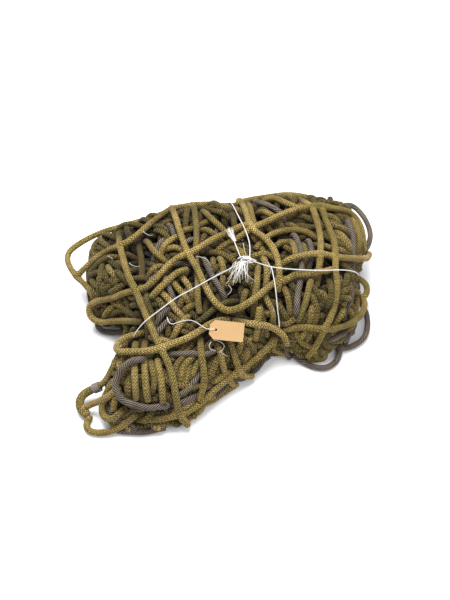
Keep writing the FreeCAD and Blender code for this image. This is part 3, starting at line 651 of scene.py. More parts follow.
def outsideness(points, depth):
    # about how far each point stands out of the layer, and the way out of it
    fullness = heapValues["fullness"]
    x, y, z = points.T
    reach = edgeReach(y)
    small = 0.002
    inset = insetDistance(x, y)
    alongX = (insetDistance(x + small, y) - inset) / small
    alongY = (insetDistance(x, y + small) - inset) / small
    inset = inset - 0.3 * depth
    top = topHeight(x, y) - depth
    low = np.clip(1 - inset / reach, 0, 1.6)
    high = np.clip(z / top, 0, 1.6)
    level = low ** fullness + high ** fullness - 1
    slopeIn = fullness * low ** (fullness - 1) / reach
    slopeUp = fullness * high ** (fullness - 1) / top
    steepness = np.sqrt(slopeIn ** 2 * (alongX ** 2 + alongY ** 2) + slopeUp ** 2) + 1e-9
    wayOut = np.stack([-slopeIn * alongX, -slopeIn * alongY, slopeUp], axis=1) / steepness[:, None]
    return level / steepness, wayOut


def buried(line):
    # 0 at the heap's outside, 1 far inside it: how much painted shade a rope gets there
    level, wayOut = outsideness(line, 0.0)
    return np.clip((-level - 0.004) / 0.032, 0, 1)


# tubular braid of the net
braidValues = {
    "diameter": 0.013,
    "yarnsEachWay": 7,
    "yarnPitch": 0.0058,  # real plaits are near 3 mm apart, drawn at 5.8 mm so that they show
    "relief": 0.0012,
    "pointsPerYarn": 4,
    "unevenness": 0.035,  # share of the radius that the rope wanders by
    "crossingReach": 0.008,  # two lines nearer than this are one woven crossing
    "crossingSwell": 0.17,  # share of the radius
    "swellLength": 0.011,
    "toneSwing": 0.16,
}


def braidPart(line, values, tone, seed, swellings=(), pointsPerYarn=None):
    perYarn = pointsPerYarn or values["pointsPerYarn"]
    around = values["yarnsEachWay"] * perYarn
    step = values["yarnPitch"] / perYarn
    line = evenLine(line, step)
    count = len(line)
    ring = np.arange(count)[:, None]
    spoke = np.arange(around)[None, :]
    oneWay = (spoke + ring) / perYarn
    otherWay = (spoke - ring) / perYarn
    even = (np.floor(oneWay + 1e-6) + np.floor(otherWay + 1e-6)) % 2 < 0.5
    partOne = np.sin(np.pi * (oneWay - np.floor(oneWay + 1e-6)))
    partOther = np.sin(np.pi * (otherWay - np.floor(otherWay + 1e-6)))
    broad = np.where(even, partOne, partOther)
    long = np.where(even, partOther, partOne)
    height = np.sqrt(np.clip(broad, 0, 1)) * (0.5 + 0.5 * np.clip(long, 0, 1))
    radius = values["diameter"] / 2
    place = np.arange(count) * step
    radii = radius * (1 + values["unevenness"] * slowWave(count, step, 0.03, seed))
    for centre, amount in swellings:
        radii = radii * (1 + amount * np.exp(-((place - centre) / values["swellLength"]) ** 2))
    radii = radii * roundedEnds(count, step, radius)
    relief = -values["relief"] * (1 - height)
    shade = tone + values["toneSwing"] * slowWave(count, step, 0.09, seed + 7)
    # painted shade: how far inside the heap each ring lies, carried in the look's third channel
    deepShade = np.repeat(buried(line)[:, None], around, axis=1)
    looks = np.stack([height, np.repeat(shade[:, None], around, axis=1), deepShade], axis=2)
    return tubePart(line, radii, relief, looks)


# laid rope, its strands wound to the left
laidValues = {
    "diameter": 0.012,
    "strands": 8,
    "lay": 0.046,  # one strand's full turn
    "relief": 0.0012,
    "pointsPerStrand": 4,
    "ringSpacing": 0.0014,
    "unevenness": 0.02,
    "toneSwing": 0.15,
}


def laidPart(line, values, tone, seed):
    around = values["strands"] * values["pointsPerStrand"]
    step = values["ringSpacing"]
    line = evenLine(line, step)
    count = len(line)
    turn = np.arange(around)[None, :] / around
    place = np.arange(count)[:, None] * step
    phase = values["strands"] * (turn + place / values["lay"])
    crest = np.abs(np.sin(np.pi * phase))
    radius = values["diameter"] / 2
    radii = radius * (1 + values["unevenness"] * slowWave(count, step, 0.03, seed))
    radii = radii * roundedEnds(count, step, radius)
    relief = -values["relief"] * (1 - crest)
    shade = tone + values["toneSwing"] * slowWave(count, step, 0.05, seed + 3)
    shade = np.repeat(shade[:, None], around, axis=1)
    # the amount of painted shade by depth, carried in the look's third channel, which the laid rope's
    # material does not read
    deepShade = np.repeat(buried(line)[:, None], around, axis=1)
    looks = np.stack([crest, shade, deepShade], axis=2)
    return tubePart(line, radii, relief, looks)


# twine and string
def twinePart(line, diameter, strands, lay, around, tone=0.5, ends=(1.0, 1.0)):
    step = min(lay / 8, diameter / 2.5)
    line = evenLine(line, step)
    count = len(line)
    turn = np.arange(around)[None, :] / around
    place = np.arange(count)[:, None] * step
    crest = np.abs(np.sin(np.pi * strands * (turn + place / lay)))
    radii = diameter / 2 * np.linspace(ends[0], ends[1], count)
    grooveDepth = 0.16  # of the diameter
    relief = -grooveDepth * diameter * (1 - crest) * radii[:, None] / (diameter / 2)
    looks = np.stack([crest, np.full_like(crest, tone), 0 * crest], axis=2)
    return tubePart(line, radii, relief, looks)


# materials
def linearColour(text):
    # sRGB hex to the linear values that the shaders take
    values = [int(text[i:i + 2], 16) / 255 for i in (1, 3, 5)]
    return (*[v / 12.92 if v <= 0.04045 else ((v + 0.055) / 1.055) ** 2.4 for v in values], 1.0)


def addNode(tree, kind, settings=None, inputs=None):
    node = tree.nodes.new(kind)
    for name, value in (settings or {}).items():
        if name == "stops":
            while len(node.color_ramp.elements) < len(value):
                node.color_ramp.elements.new(0.5)
            for element, (position, colour) in zip(node.color_ramp.elements, value):
                element.position = position
                element.color = linearColour(colour)
        else:
            setattr(node, name, value)
    for socket, value in (inputs or {}).items():
        if isinstance(value, bpy.types.NodeSocket):
            tree.links.new(value, node.inputs[socket])
        else:
            node.inputs[socket].default_value = value
    return node


def newMaterial(name):
    material = bpy.data.materials.new(name)
    material.use_nodes = True
    material.node_tree.nodes.clear()
    return material, material.node_tree


def braidedCotton(name, colours, stainColour, paintedShadeColour, stainShare):
    # braided cotton sash cord, dyed khaki and weathered: dull and soft, with fluffy plaits and brown
    # stains. Painted shade darkens it between the plaits and on ropes far inside the heap
    material, tree = newMaterial(name)
    look = addNode(tree, "ShaderNodeAttribute", {"attribute_name": "ropeLook"})
    parts = addNode(tree, "ShaderNodeSeparateColor", None, {"Color": look.outputs["Color"]})
    place = addNode(tree, "ShaderNodeTexCoord")
    patches = addNode(tree, "ShaderNodeTexNoise", None,
                      {"Vector": place.outputs["Object"], "Scale": 22.0, "Detail": 3.0, "Roughness": 0.6})
    blotches = addNode(tree, "ShaderNodeMath", {"operation": "MULTIPLY_ADD"},
                       {0: patches.outputs["Fac"], 1: 0.9, 2: -0.45})
    shade = addNode(tree, "ShaderNodeMath", {"operation": "ADD"},
                    {0: parts.outputs["Green"], 1: blotches.outputs["Value"]})
    ground = addNode(tree, "ShaderNodeValToRGB", {"stops": colours}, {"Fac": shade.outputs["Value"]})
    stain = addNode(tree, "ShaderNodeTexNoise", None,
                    {"Vector": place.outputs["Object"], "Scale": 55.0, "Detail": 4.0, "Roughness": 0.65})
    stained = addNode(tree, "ShaderNodeMapRange", None,
                      {"Value": stain.outputs["Fac"], "From Min": 0.52, "From Max": 0.72,
                       "To Max": stainShare})
    withStain = addNode(tree, "ShaderNodeMix", {"data_type": "RGBA"},
                        {"Factor": stained.outputs["Result"], "A": ground.outputs["Color"],
                         "B": linearColour(stainColour)})
    yarn = addNode(tree, "ShaderNodeTexNoise", None,  # single yarns, about 0.8 mm
                   {"Vector": place.outputs["Object"], "Scale": 1100.0, "Detail": 2.0, "Roughness": 0.7})
    yarnLight = addNode(tree, "ShaderNodeMapRange", None,
                        {"Value": yarn.outputs["Fac"], "From Min": 0.3, "From Max": 0.7,
                         "To Min": 0.0, "To Max": 0.22})
    withYarn = addNode(tree, "ShaderNodeMix", {"data_type": "RGBA", "blend_type": "MULTIPLY"},
                       {"Factor": yarnLight.outputs["Result"], "A": withStain.outputs["Result"],
                        "B": linearColour("#6E6248")})
    speck = addNode(tree, "ShaderNodeTexNoise", None,  # soiled single plaits, about 3 mm
                    {"Vector": place.outputs["Object"], "Scale": 330.0, "Detail": 2.0, "Roughness": 0.6})
    soiled = addNode(tree, "ShaderNodeMapRange", None,
                     {"Value": speck.outputs["Fac"], "From Min": 0.45, "From Max": 0.66,
                      "To Min": 0.0, "To Max": 0.75})
    withSpecks = addNode(tree, "ShaderNodeMix", {"data_type": "RGBA", "blend_type": "MULTIPLY"},
                         {"Factor": soiled.outputs["Result"], "A": withYarn.outputs["Result"],
                          "B": linearColour("#7A6440")})
    # painted shade: the colour darkens between the raised plaits, where shade falls
    gap = addNode(tree, "ShaderNodeMapRange", None,
                  {"Value": parts.outputs["Red"], "From Min": 0.35, "From Max": 0.95,
                   "To Min": 0.95, "To Max": 0.0})
    plaitShaded = addNode(tree, "ShaderNodeMix", {"data_type": "RGBA"},
                      {"Factor": gap.outputs["Result"], "A": withSpecks.outputs["Result"],
                       "B": linearColour(paintedShadeColour)})
    # painted shade: ropes further inside the heap are darkened towards the same near-black
    deepShade = addNode(tree, "ShaderNodeMapRange", None,
                   {"Value": parts.outputs["Blue"], "From Min": 0.1, "From Max": 1.0, "To Max": 0.86})
    base = addNode(tree, "ShaderNodeMix", {"data_type": "RGBA"},
                   {"Factor": deepShade.outputs["Result"], "A": plaitShaded.outputs["Result"],
                    "B": linearColour(paintedShadeColour)})
    fluff = addNode(tree, "ShaderNodeBump", None,
                    {"Strength": 0.5, "Distance": 0.0006, "Height": yarn.outputs["Fac"]})
    cotton = addNode(tree, "ShaderNodeBsdfPrincipled", None,
                     {"Base Color": base.outputs["Result"], "Roughness": 0.92, "IOR": 1.45,
                      "Specular IOR Level": 0.12, "Sheen Weight": 0.06, "Sheen Roughness": 0.6,
                      "Normal": fluff.outputs["Normal"]})
    addNode(tree, "ShaderNodeOutputMaterial", None, {"Surface": cotton.outputs["BSDF"]})
    return material


def laidRopeFibre(name, paleColour, darkColour):
    # hard-laid fibre rope, smoother than the braid, striped: a pale crest on each strand, dimmed where
    # worn, and painted shade, near black, in the grooves between them
    material, tree = newMaterial(name)
    look = addNode(tree, "ShaderNodeAttribute", {"attribute_name": "ropeLook"})
    parts = addNode(tree, "ShaderNodeSeparateColor", None, {"Color": look.outputs["Color"]})
    place = addNode(tree, "ShaderNodeTexCoord")
    wear = addNode(tree, "ShaderNodeTexNoise", None,
                   {"Vector": place.outputs["Object"], "Scale": 60.0, "Detail": 3.0})
    fibre = addNode(tree, "ShaderNodeTexNoise", None,
                    {"Vector": place.outputs["Object"], "Scale": 1300.0, "Detail": 2.0})
    # painted shade: only the strand crests take the pale colour, the grooves between them stay near black
    stripe = addNode(tree, "ShaderNodeMapRange", {"interpolation_type": "SMOOTHSTEP"},
                     {"Value": parts.outputs["Red"], "From Min": 0.69, "From Max": 0.91})
    worn = addNode(tree, "ShaderNodeMapRange", None,
                   {"Value": wear.outputs["Fac"], "From Min": 0.3, "From Max": 0.7,
                    "To Min": 0.55, "To Max": 1.0})
    paleShare = addNode(tree, "ShaderNodeMath", {"operation": "MULTIPLY"},
                        {0: stripe.outputs["Result"], 1: worn.outputs["Result"]})
    base = addNode(tree, "ShaderNodeMix", {"data_type": "RGBA"},
                   {"Factor": paleShare.outputs["Value"], "A": linearColour(darkColour),
                    "B": linearColour(paleColour)})
    fluff = addNode(tree, "ShaderNodeBump", None,
                    {"Strength": 0.4, "Distance": 0.0005, "Height": fibre.outputs["Fac"]})
    rope = addNode(tree, "ShaderNodeBsdfPrincipled", None,
                   {"Base Color": base.outputs["Result"], "Roughness": 0.8, "IOR": 1.48,
                    "Specular IOR Level": 0.2, "Normal": fluff.outputs["Normal"]})
    addNode(tree, "ShaderNodeOutputMaterial", None, {"Surface": rope.outputs["BSDF"]})
    return material


def twistedString(name, paleColour, grooveShadeColour):
    # twisted cotton string: matt, near white, with painted shade, grey, in its grooves
    material, tree = newMaterial(name)
    look = addNode(tree, "ShaderNodeAttribute", {"attribute_name": "ropeLook"})
    parts = addNode(tree, "ShaderNodeSeparateColor", None, {"Color": look.outputs["Color"]})
    # painted shade: the grooves between the strands are mixed towards the grey shade colour
    groove = addNode(tree, "ShaderNodeMapRange", None,
                     {"Value": parts.outputs["Red"], "From Min": 0.1, "From Max": 0.7,
                      "To Min": 0.7, "To Max": 0.0})
    base = addNode(tree, "ShaderNodeMix", {"data_type": "RGBA"},
                   {"Factor": groove.outputs["Result"], "A": linearColour(paleColour),
                    "B": linearColour(grooveShadeColour)})
    string = addNode(tree, "ShaderNodeBsdfPrincipled", None,
                     {"Base Color": base.outputs["Result"], "Roughness": 0.85, "IOR": 1.5,
                      "Specular IOR Level": 0.3, "Sheen Weight": 0.2})
    addNode(tree, "ShaderNodeOutputMaterial", None, {"Surface": string.outputs["BSDF"]})
    return material


def manilaCard(name, cardColour, edgeColour):
    # buff manila card: matt, with faint paler clouds and short fibres
    material, tree = newMaterial(name)
    place = addNode(tree, "ShaderNodeTexCoord")
    cloud = addNode(tree, "ShaderNodeTexNoise", None,
                    {"Vector": place.outputs["Object"], "Scale": 45.0, "Detail": 3.0})
    fibre = addNode(tree, "ShaderNodeTexNoise", None,
                    {"Vector": place.outputs["Object"], "Scale": 1500.0, "Detail": 2.0})
    blend = addNode(tree, "ShaderNodeMapRange", None,
                    {"Value": cloud.outputs["Fac"], "From Min": 0.35, "From Max": 0.7, "To Max": 0.6})
    base = addNode(tree, "ShaderNodeMix", {"data_type": "RGBA"},
                   {"Factor": blend.outputs["Result"], "A": linearColour(cardColour),
                    "B": linearColour(edgeColour)})
    grain = addNode(tree, "ShaderNodeBump", None,
                    {"Strength": 0.15, "Distance": 0.0002, "Height": fibre.outputs["Fac"]})
    card = addNode(tree, "ShaderNodeBsdfPrincipled", None,
                   {"Base Color": base.outputs["Result"], "Roughness": 0.75, "IOR": 1.5,
                    "Specular IOR Level": 0.35, "Normal": grain.outputs["Normal"]})
    addNode(tree, "ShaderNodeOutputMaterial", None, {"Surface": card.outputs["BSDF"]})
    return material


netCotton = braidedCotton("braidedCottonKhaki",
                          [(0.0, "#74703C"), (0.35, "#A79650"), (0.65, "#CCB166"), (1.0, "#E6CA82")],
                          "#74562E", "#1D1304", 0.5)
# a darker, more olive copy of the net's cotton for the ropes packed far inside the heap: painted shade,
# with more of the brown stains
shadedInnerCotton = braidedCotton("braidedCottonOlive",
                            [(0.0, "#5F5C2C"), (0.4, "#8F8142"), (0.7, "#B39A57"), (1.0, "#D2B66D")],
                            "#5E482B", "#150D02", 0.6)
laidFibre = laidRopeFibre("laidRopeGreyBrown", "#C2B09C", "#110C0A")
whiteString = twistedString("twistedCottonString", "#D3D0CA", "#77767A")
greyTwine = twistedString("waxedTwineGrey", "#7A726B", "#35302C")
manila = manilaCard("manilaCardBuff", "#AC8A5E", "#B49164")
print("materials made")

# outer ropes
lines = {}
for name, points in {**netRoutes, **laidRoutes}.items():
    lines[name] = smoothLine(points)
lines["corner_eye"] = smoothLine(eyeRoute)


def crossings(names, reach):
    # where two net ropes pass through each other, both swell
    found = {name: [] for name in names}
    step = 0.004
    swell = braidValues["crossingSwell"]
    even = {name: evenLine(lines[name], step) for name in names}
    for i, name in enumerate(names):
        for other in names[i + 1:]:
            gap = np.linalg.norm(even[name][:, None] - even[other][None], axis=2)
            mine, its = np.unravel_index(int(gap.argmin()), gap.shape)
            if gap[mine, its] < reach:
                found[name].append((mine * step, swell))
                found[other].append((its * step, swell))
    return found


netNames = list(netRoutes)
swellings = crossings(netNames, braidValues["crossingReach"])
outerPieces = {}
for number, name in enumerate(netNames):
    tone = 0.62 + 0.1 * math.sin(2.3 * number)
    part = braidPart(lines[name], braidValues, tone, 100 + number, swellings[name])
    piece = buildPiece("rope_" + name[9:], [part], netCotton)
    fasten(piece, "bundle", "net_rope", name)
    outerPieces[name] = piece
for number, name in enumerate(laidRoutes):
    part = laidPart(lines[name], laidValues, 0.5, 200 + number)
    piece = buildPiece("laid_" + name[13:], [part], laidFibre)
    fasten(piece, "bundle", "twisted_rope", name)
    outerPieces[name] = piece
print("outer ropes made")

# corner eye and its whipping
eyeValues = {**braidValues, "diameter": 0.017, "yarnsEachWay": 9, "relief": 0.001}
eye = buildPiece("corner_eye_rope", [braidPart(lines["corner_eye"], eyeValues, 0.45, 300)], netCotton)
fasten(eye, "bundle", "net_rope", "corner_eye")
outerPieces["corner_eye"] = eye

whippingValues = {"twine": 0.0016, "turns": 9, "radius": 0.0092, "pointsPerTurn": 24, "lay": 0.004}


def whippingLine(values):
    throat = Vector(eyeRoute[0])
    heading = (throat - Vector(eyeRoute[1])).normalized()
    side = heading.cross(Vector((0, 0, 1))).normalized()
    upward = side.cross(heading)
    points = []
    perTurn = values["pointsPerTurn"]
    count = values["turns"] * perTurn
    for i in range(count + 1):
        turn = 2 * math.pi * values["turns"] * i / count
        along = 0.0008 + values["twine"] * 0.98 * values["turns"] * i / count
        bulge = values["radius"] * (1 + 0.05 * math.sin(3.1 * i / perTurn))
        points.append(throat + heading * along + (side * math.cos(turn) + upward * math.sin(turn)) * bulge)
    return np.array(points)


twine = twinePart(whippingLine(whippingValues), whippingValues["twine"] * 1.15, 3, whippingValues["lay"], 8)
whipping = buildPiece("eye_whipping_twine", [twine], greyTwine)
fasten(whipping, "bundle", "whipping_twine", "eye_whipping")
print("corner eye made")

# packed turns
roughTurn = 6.28  # radians, near enough for waves and random starts


def flowAngle(x, y):
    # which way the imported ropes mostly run, in plan
    return 1.9 + 1.1 * math.sin(7.0 * x + 1.2) * math.cos(6.0 * y - 0.4) - 0.5 * x / 0.3


def strayRope(start, angle, length, depth, bend, seed):
    # a rope that wanders over one layer and dips away at both ends
    local = np.random.default_rng(seed)
    step = heapValues["pointSpacing"]
    half = max(4, int(length / step / 2))
    phase = local.uniform(0, roughTurn)
    wave = local.uniform(0.09, 0.16)
    halves = []
    for way in (1, -1):
        place = np.array(start, float)
        heading = angle
        path = []
        for i in range(half):
            heading += way * bend * math.sin(phase + way * i * step / wave * roughTurn) * step
            place = place + way * step * np.array([math.cos(heading), math.sin(heading)])
            path.append(place.copy())
        halves.append(path)
    plan = np.array(halves[1][::-1] + [np.array(start, float)] + halves[0])
    inset = insetDistance(plan[:, 0], plan[:, 1])
    low = half
    while low > 0 and inset[low - 1] > 0.3 * depth + 0.001:
        low -= 1
    high = half
    while high < len(plan) - 1 and inset[high + 1] > 0.3 * depth + 0.001:
        high += 1
    plan = plan[low:high + 1]
    if len(plan) < 6:
        return None
    place = np.arange(len(plan)) * step
    gap = np.minimum(place, place[::-1])
    endDip, dipLength = 0.042, 0.04
    sink = endDip * np.clip(1 - gap / dipLength, 0, 1) ** 1.5
    ripple = 0.005 * np.sin(place / 0.07 * roughTurn + phase)
    onTop = insetDistance(plan[:, 0], plan[:, 1]) > 0.035
    own = np.clip(depth + ripple, 0.012, None) + np.where(onTop, sink, 0)
    height = heapSurface(plan[:, 0], plan[:, 1], own)
    return evenLine(np.column_stack([plan, height]), step)


def sideRope(startShare, length, level, climb, depth, seed):
    # a rope on the heap's steep side: it runs round at some level, or climbs over the edge
    local = np.random.default_rng(seed)
    ring = np.array(heapOutline + heapOutline[:1])
    step = heapValues["pointSpacing"]
    ring = evenLine(np.column_stack([ring, np.zeros(len(ring))]), step)[:-1, :2]
    count = max(8, int(length / step))
    first = int(startShare * len(ring))
    picked = ring[(first + np.arange(count)) % len(ring)]
    picked = softened(np.column_stack([picked, np.zeros(count)]), 5)[:, :2]
    heading = np.gradient(picked, axis=0)
    heading /= np.linalg.norm(heading, axis=1)[:, None] + 1e-9
    inward = np.column_stack([heading[:, 1], -heading[:, 0]])
    place = np.arange(count) * step
    wave = 0.012 * np.sin(place / 0.12 * roughTurn + local.uniform(0, roughTurn))
    levels = level + climb * (place - length / 2) + wave
    gap = np.minimum(place, place[::-1])
    endDip, dipLength = 0.026, 0.032
    own = depth + endDip * np.clip(1 - gap / dipLength, 0, 1) ** 1.5
    top = topHeight(picked[:, 0], picked[:, 1]) - own
    share = np.clip(levels / top, 0.05, 0.985)
    fullness = heapValues["fullness"]
    inset = edgeReach(picked[:, 1]) * (1 - (1 - share ** fullness) ** (1 / fullness)) + own - 0.7 * depth
    plan = picked + inward * inset[:, None]
    return evenLine(np.column_stack([plan, share * top]), step)


packedValues = {
    "diameter": 0.0124,
    "layers": [  # depth under the outer ropes, number of ropes, spread of their direction, longest
        (0.016, 96, 0.6, 0.24),
        (0.027, 80, 0.9, 0.30),
        (0.040, 70, 1.2, 0.34),
    ],
    "sideLayers": [(0.007, 64), (0.019, 60), (0.032, 40)],  # depth and number
    "firstSeed": 500,
    "pieces": 14,
}


def packedRopes(values):
    ropes = []
    seed = values["firstSeed"]
    for depth, count, spread, longest in values["layers"]:
        made = 0
        while made < count:
            seed += 1
            local = np.random.default_rng(seed)
            x = local.uniform(-0.28, 0.31)
            y = local.uniform(-0.26, 0.27)
            if insetDistance(np.array([x]), np.array([y]))[0] < 0.006:
                continue
            angle = flowAngle(x, y) + local.normal(0, spread)
            if local.uniform() < 0.25:
                angle += math.pi / 2
            rope = strayRope((x, y), angle, local.uniform(0.12, longest), depth, local.uniform(4, 14), seed)
            if rope is not None and len(rope) > 8:
                ropes.append(rope)
                made += 1
    for depth, count in values["sideLayers"]:
        for _ in range(count):
            seed += 1
            local = np.random.default_rng(seed)
            climb = local.choice([0.0, 0.0, 0.25, -0.25, 0.9, -0.9, 1.8])
            ropes.append(sideRope(local.uniform(), local.uniform(0.1, 0.24), local.uniform(0.02, 0.12),
                                  climb + local.normal(0, 0.1), depth, seed))
    return ropes


def closePairs(points, everything, reach):
    # every two points nearer than the reach, looked for in blocks to save memory
    found = []
    squares = (everything ** 2).sum(axis=1)
    blockSize = 500
    for first in range(0, len(points), blockSize):
        block = points[first:first + blockSize]
        gap = (block ** 2).sum(axis=1)[:, None] + squares[None] - 2 * block @ everything.T
        mine, its = np.nonzero(gap < reach * reach)
        found.append(np.column_stack([mine + first, its]))
    return np.concatenate(found)


def settle(ropes, fixed, fixedRadius, placed):
    # pushes overlapping ropes apart, keeps them smooth, evenly spaced and inside the heap
    points = np.concatenate(ropes)
    start = points.copy()
    owner = np.concatenate([np.full(len(rope), i) for i, rope in enumerate(ropes)])
    place = np.concatenate([np.arange(len(rope)) for rope in ropes])
    first = place == 0
    last = np.concatenate([np.arange(len(rope)) == len(rope) - 1 for rope in ropes])
    inner = ~(first | last)
    lengths = np.concatenate([np.full(len(rope), len(rope)) for rope in ropes])
    pressed = np.clip(np.minimum(place, lengths - 1 - place) / 3, 0.1, 1)  # rope ends stay pushed in
    free = len(points)
    half = heapValues["ropeGap"] / 2
    radii = np.concatenate([np.full(free, half), fixedRadius])
    spacing = heapValues["pointSpacing"]
    pairReach = 0.021
    longestMove = 0.004  # in one round
    out, wayOut = outsideness(points, heapValues["smallestDepth"])
    for turn in range(heapValues["rounds"]):
        everything = np.concatenate([points, fixed])
        if turn % 6 == 0:
            pairs = closePairs(points, everything, pairReach)
            a, b = pairs.T
            other = np.minimum(b, free - 1)
            away = (b >= free) | (owner[a] != owner[other]) | (abs(place[a] - place[other]) > 4)
            a, b = a[away & (a != b)], b[away & (a != b)]
        apart = everything[a] - everything[b]
        gap = np.linalg.norm(apart, axis=1) + 1e-9
        need = radii[a] + radii[b]
        short = np.clip(need - gap, 0, None)
        share = np.where(b >= free, 0.5, 0.26)
        way = apart / gap[:, None]
        proud = (b >= free) & ((way * wayOut[a]).sum(axis=1) > -0.5)  # outer ropes stay outermost
        way = way - 1.3 * proud[:, None] * wayOut[a]
        push = way * (short * share)[:, None]
        moved = np.zeros_like(points)
        np.add.at(moved, a, push)
        size = np.linalg.norm(moved, axis=1)
        moved *= (np.minimum(size, longestMove) / (size + 1e-9) * pressed)[:, None]
        points = points + moved
        middle = points.copy()
        middle[1:-1] = 0.5 * (points[:-2] + points[2:])
        points[inner] += 0.22 * (middle - points)[inner]
        run = points[1:] - points[:-1]
        size = np.linalg.norm(run, axis=1)
        joined = owner[1:] == owner[:-1]
        wrong = np.where(joined, size - spacing, 0) / (size + 1e-9)
        fix = run * (0.3 * wrong)[:, None]
        points[:-1] += fix
        points[1:] -= fix
        out, wayOut = outsideness(points, heapValues["smallestDepth"])
        points -= wayOut * (0.6 * np.clip(out, 0, 0.01))[:, None]
        hold = (owner < placed) * 0.06  # the second layer is drawn back to its place
        points[:, :2] += hold[:, None] * (start - points)[:, :2]
        points[:, 2] = np.maximum(points[:, 2], heapValues["lowest"])
    settled = []
    begin = 0
    for rope in ropes:
        settled.append(points[begin:begin + len(rope)])
        begin += len(rope)
    return settled


def tucked(line, reach, fall):
    # both ends of a rope carried on and down under its neighbours
    heads = []
    for end, near in ((line[0], line[5]), (line[-1], line[-6])):
        way = end - near
        way[2] = min(way[2], 0)
        way = way / (np.linalg.norm(way) + 1e-9)
        inset = insetDistance(end[None, 0], end[None, 1])[0]
        drop = fall if inset > 0.03 else 0.3 * fall
        heads.append([end + way * reach * share + np.array([0, 0, -drop * share ** 1.5])
                      for share in (0.33, 0.66, 1)])
    line = np.vstack([np.array(heads[0][::-1]), line, np.array(heads[1])])
    line[:, 2] = np.maximum(line[:, 2], heapValues["lowest"])
    return line


secondValues = {"netDiameter": 0.0126, "laidDiameter": 0.0112, "tuckReach": 0.03, "tuckFall": 0.045}
secondRoutes = [*secondNetRoutes.values(), *secondLaidRoutes.values()]
packed = []
for route in secondRoutes:
    line = tucked(evenLine(smoothLine(route), 0.004), secondValues["tuckReach"], secondValues["tuckFall"])
    packed.append(evenLine(line, heapValues["pointSpacing"]))
packed += packedRopes(packedValues)
fixedLines = [evenLine(line, 0.006) for line in lines.values()]
fixedPoints = np.concatenate(fixedLines)
fixedRadius = np.concatenate([np.full(len(line), 0.0060 if "twisted" in name else 0.0070)
                              for name, line in zip(lines, fixedLines)])
packed = settle(packed, fixedPoints, fixedRadius, len(secondRoutes))
print("packed ropes settled", len(packed), round(sum(lineLength(line) for line in packed), 1), "m")

second, packed = packed[:len(secondRoutes)], packed[len(secondRoutes):]
secondNet, secondLaid = second[:len(secondNetRoutes)], second[len(secondNetRoutes):]
braid = {**braidValues, "diameter": secondValues["netDiameter"]}
groups = 4
for group in range(groups):
    parts = []
    for number in range(group, len(secondNet), groups):
        tone = 0.6 + 0.12 * math.sin(1.9 * number)
        parts.append(braidPart(softened(secondNet[number], 1), braid, tone, 600 + number))
    piece = buildPiece(f"second_ropes_{group + 1}", parts, netCotton)
    fasten(piece, "bundle", "net_rope")
laid = {**laidValues, "diameter": secondValues["laidDiameter"]}
parts = [laidPart(softened(line, 1), laid, 0.5, 700 + number) for number, line in enumerate(secondLaid)]
piece = buildPiece("second_laid_ropes", parts, laidFibre)
fasten(piece, "bundle", "twisted_rope")
print("second ropes made")

braid = {**braidValues, "diameter": packedValues["diameter"]}
foldNodes = ["fold_left_end", "fold_left", "fold_middle", "fold_right", "fold_right_end",
             "fold_limb_left", "fold_limb_right"]
groups = packedValues["pieces"]
for group in range(groups):
    parts = []
    for number in range(group, len(packed), groups):
        # a lower tone than the outer ropes: painted shade for ropes far inside the heap, spread at random
        # from rope to rope
        tone = 0.5 + 0.16 * math.sin(1.7 * number)
        parts.append(braidPart(softened(packed[number], 2), braid, tone, 900 + number, (), 3))
    piece = buildPiece(f"packed_ropes_{group + 1:02d}", parts, shadedInnerCotton)
    fasten(piece, "bundle", "net_folds", *foldNodes[group:group + 1])
print("packed ropes made")

# tie string, its knot and frayed ends
stringValues = {"diameter": 0.0022, "strands": 3, "lay": 0.0065, "pointsAround": 12}
stringPieces = {}
for name, points in stringRoutes.items():
    lines[name] = smoothLine(points)
    part = twinePart(lines[name], stringValues["diameter"], stringValues["strands"], stringValues["lay"],
                     stringValues["pointsAround"])
    piece = buildPiece("string_" + name[11:], [part], whiteString)
    fasten(piece, "bundle", "string", name)
    stringPieces[name] = piece

knotValues = {
    "place": (0.049, 0.016, 0.1725), "frays": 26, "frayLength": (0.026, 0.056), "frayDiameter": 0.0013,
}


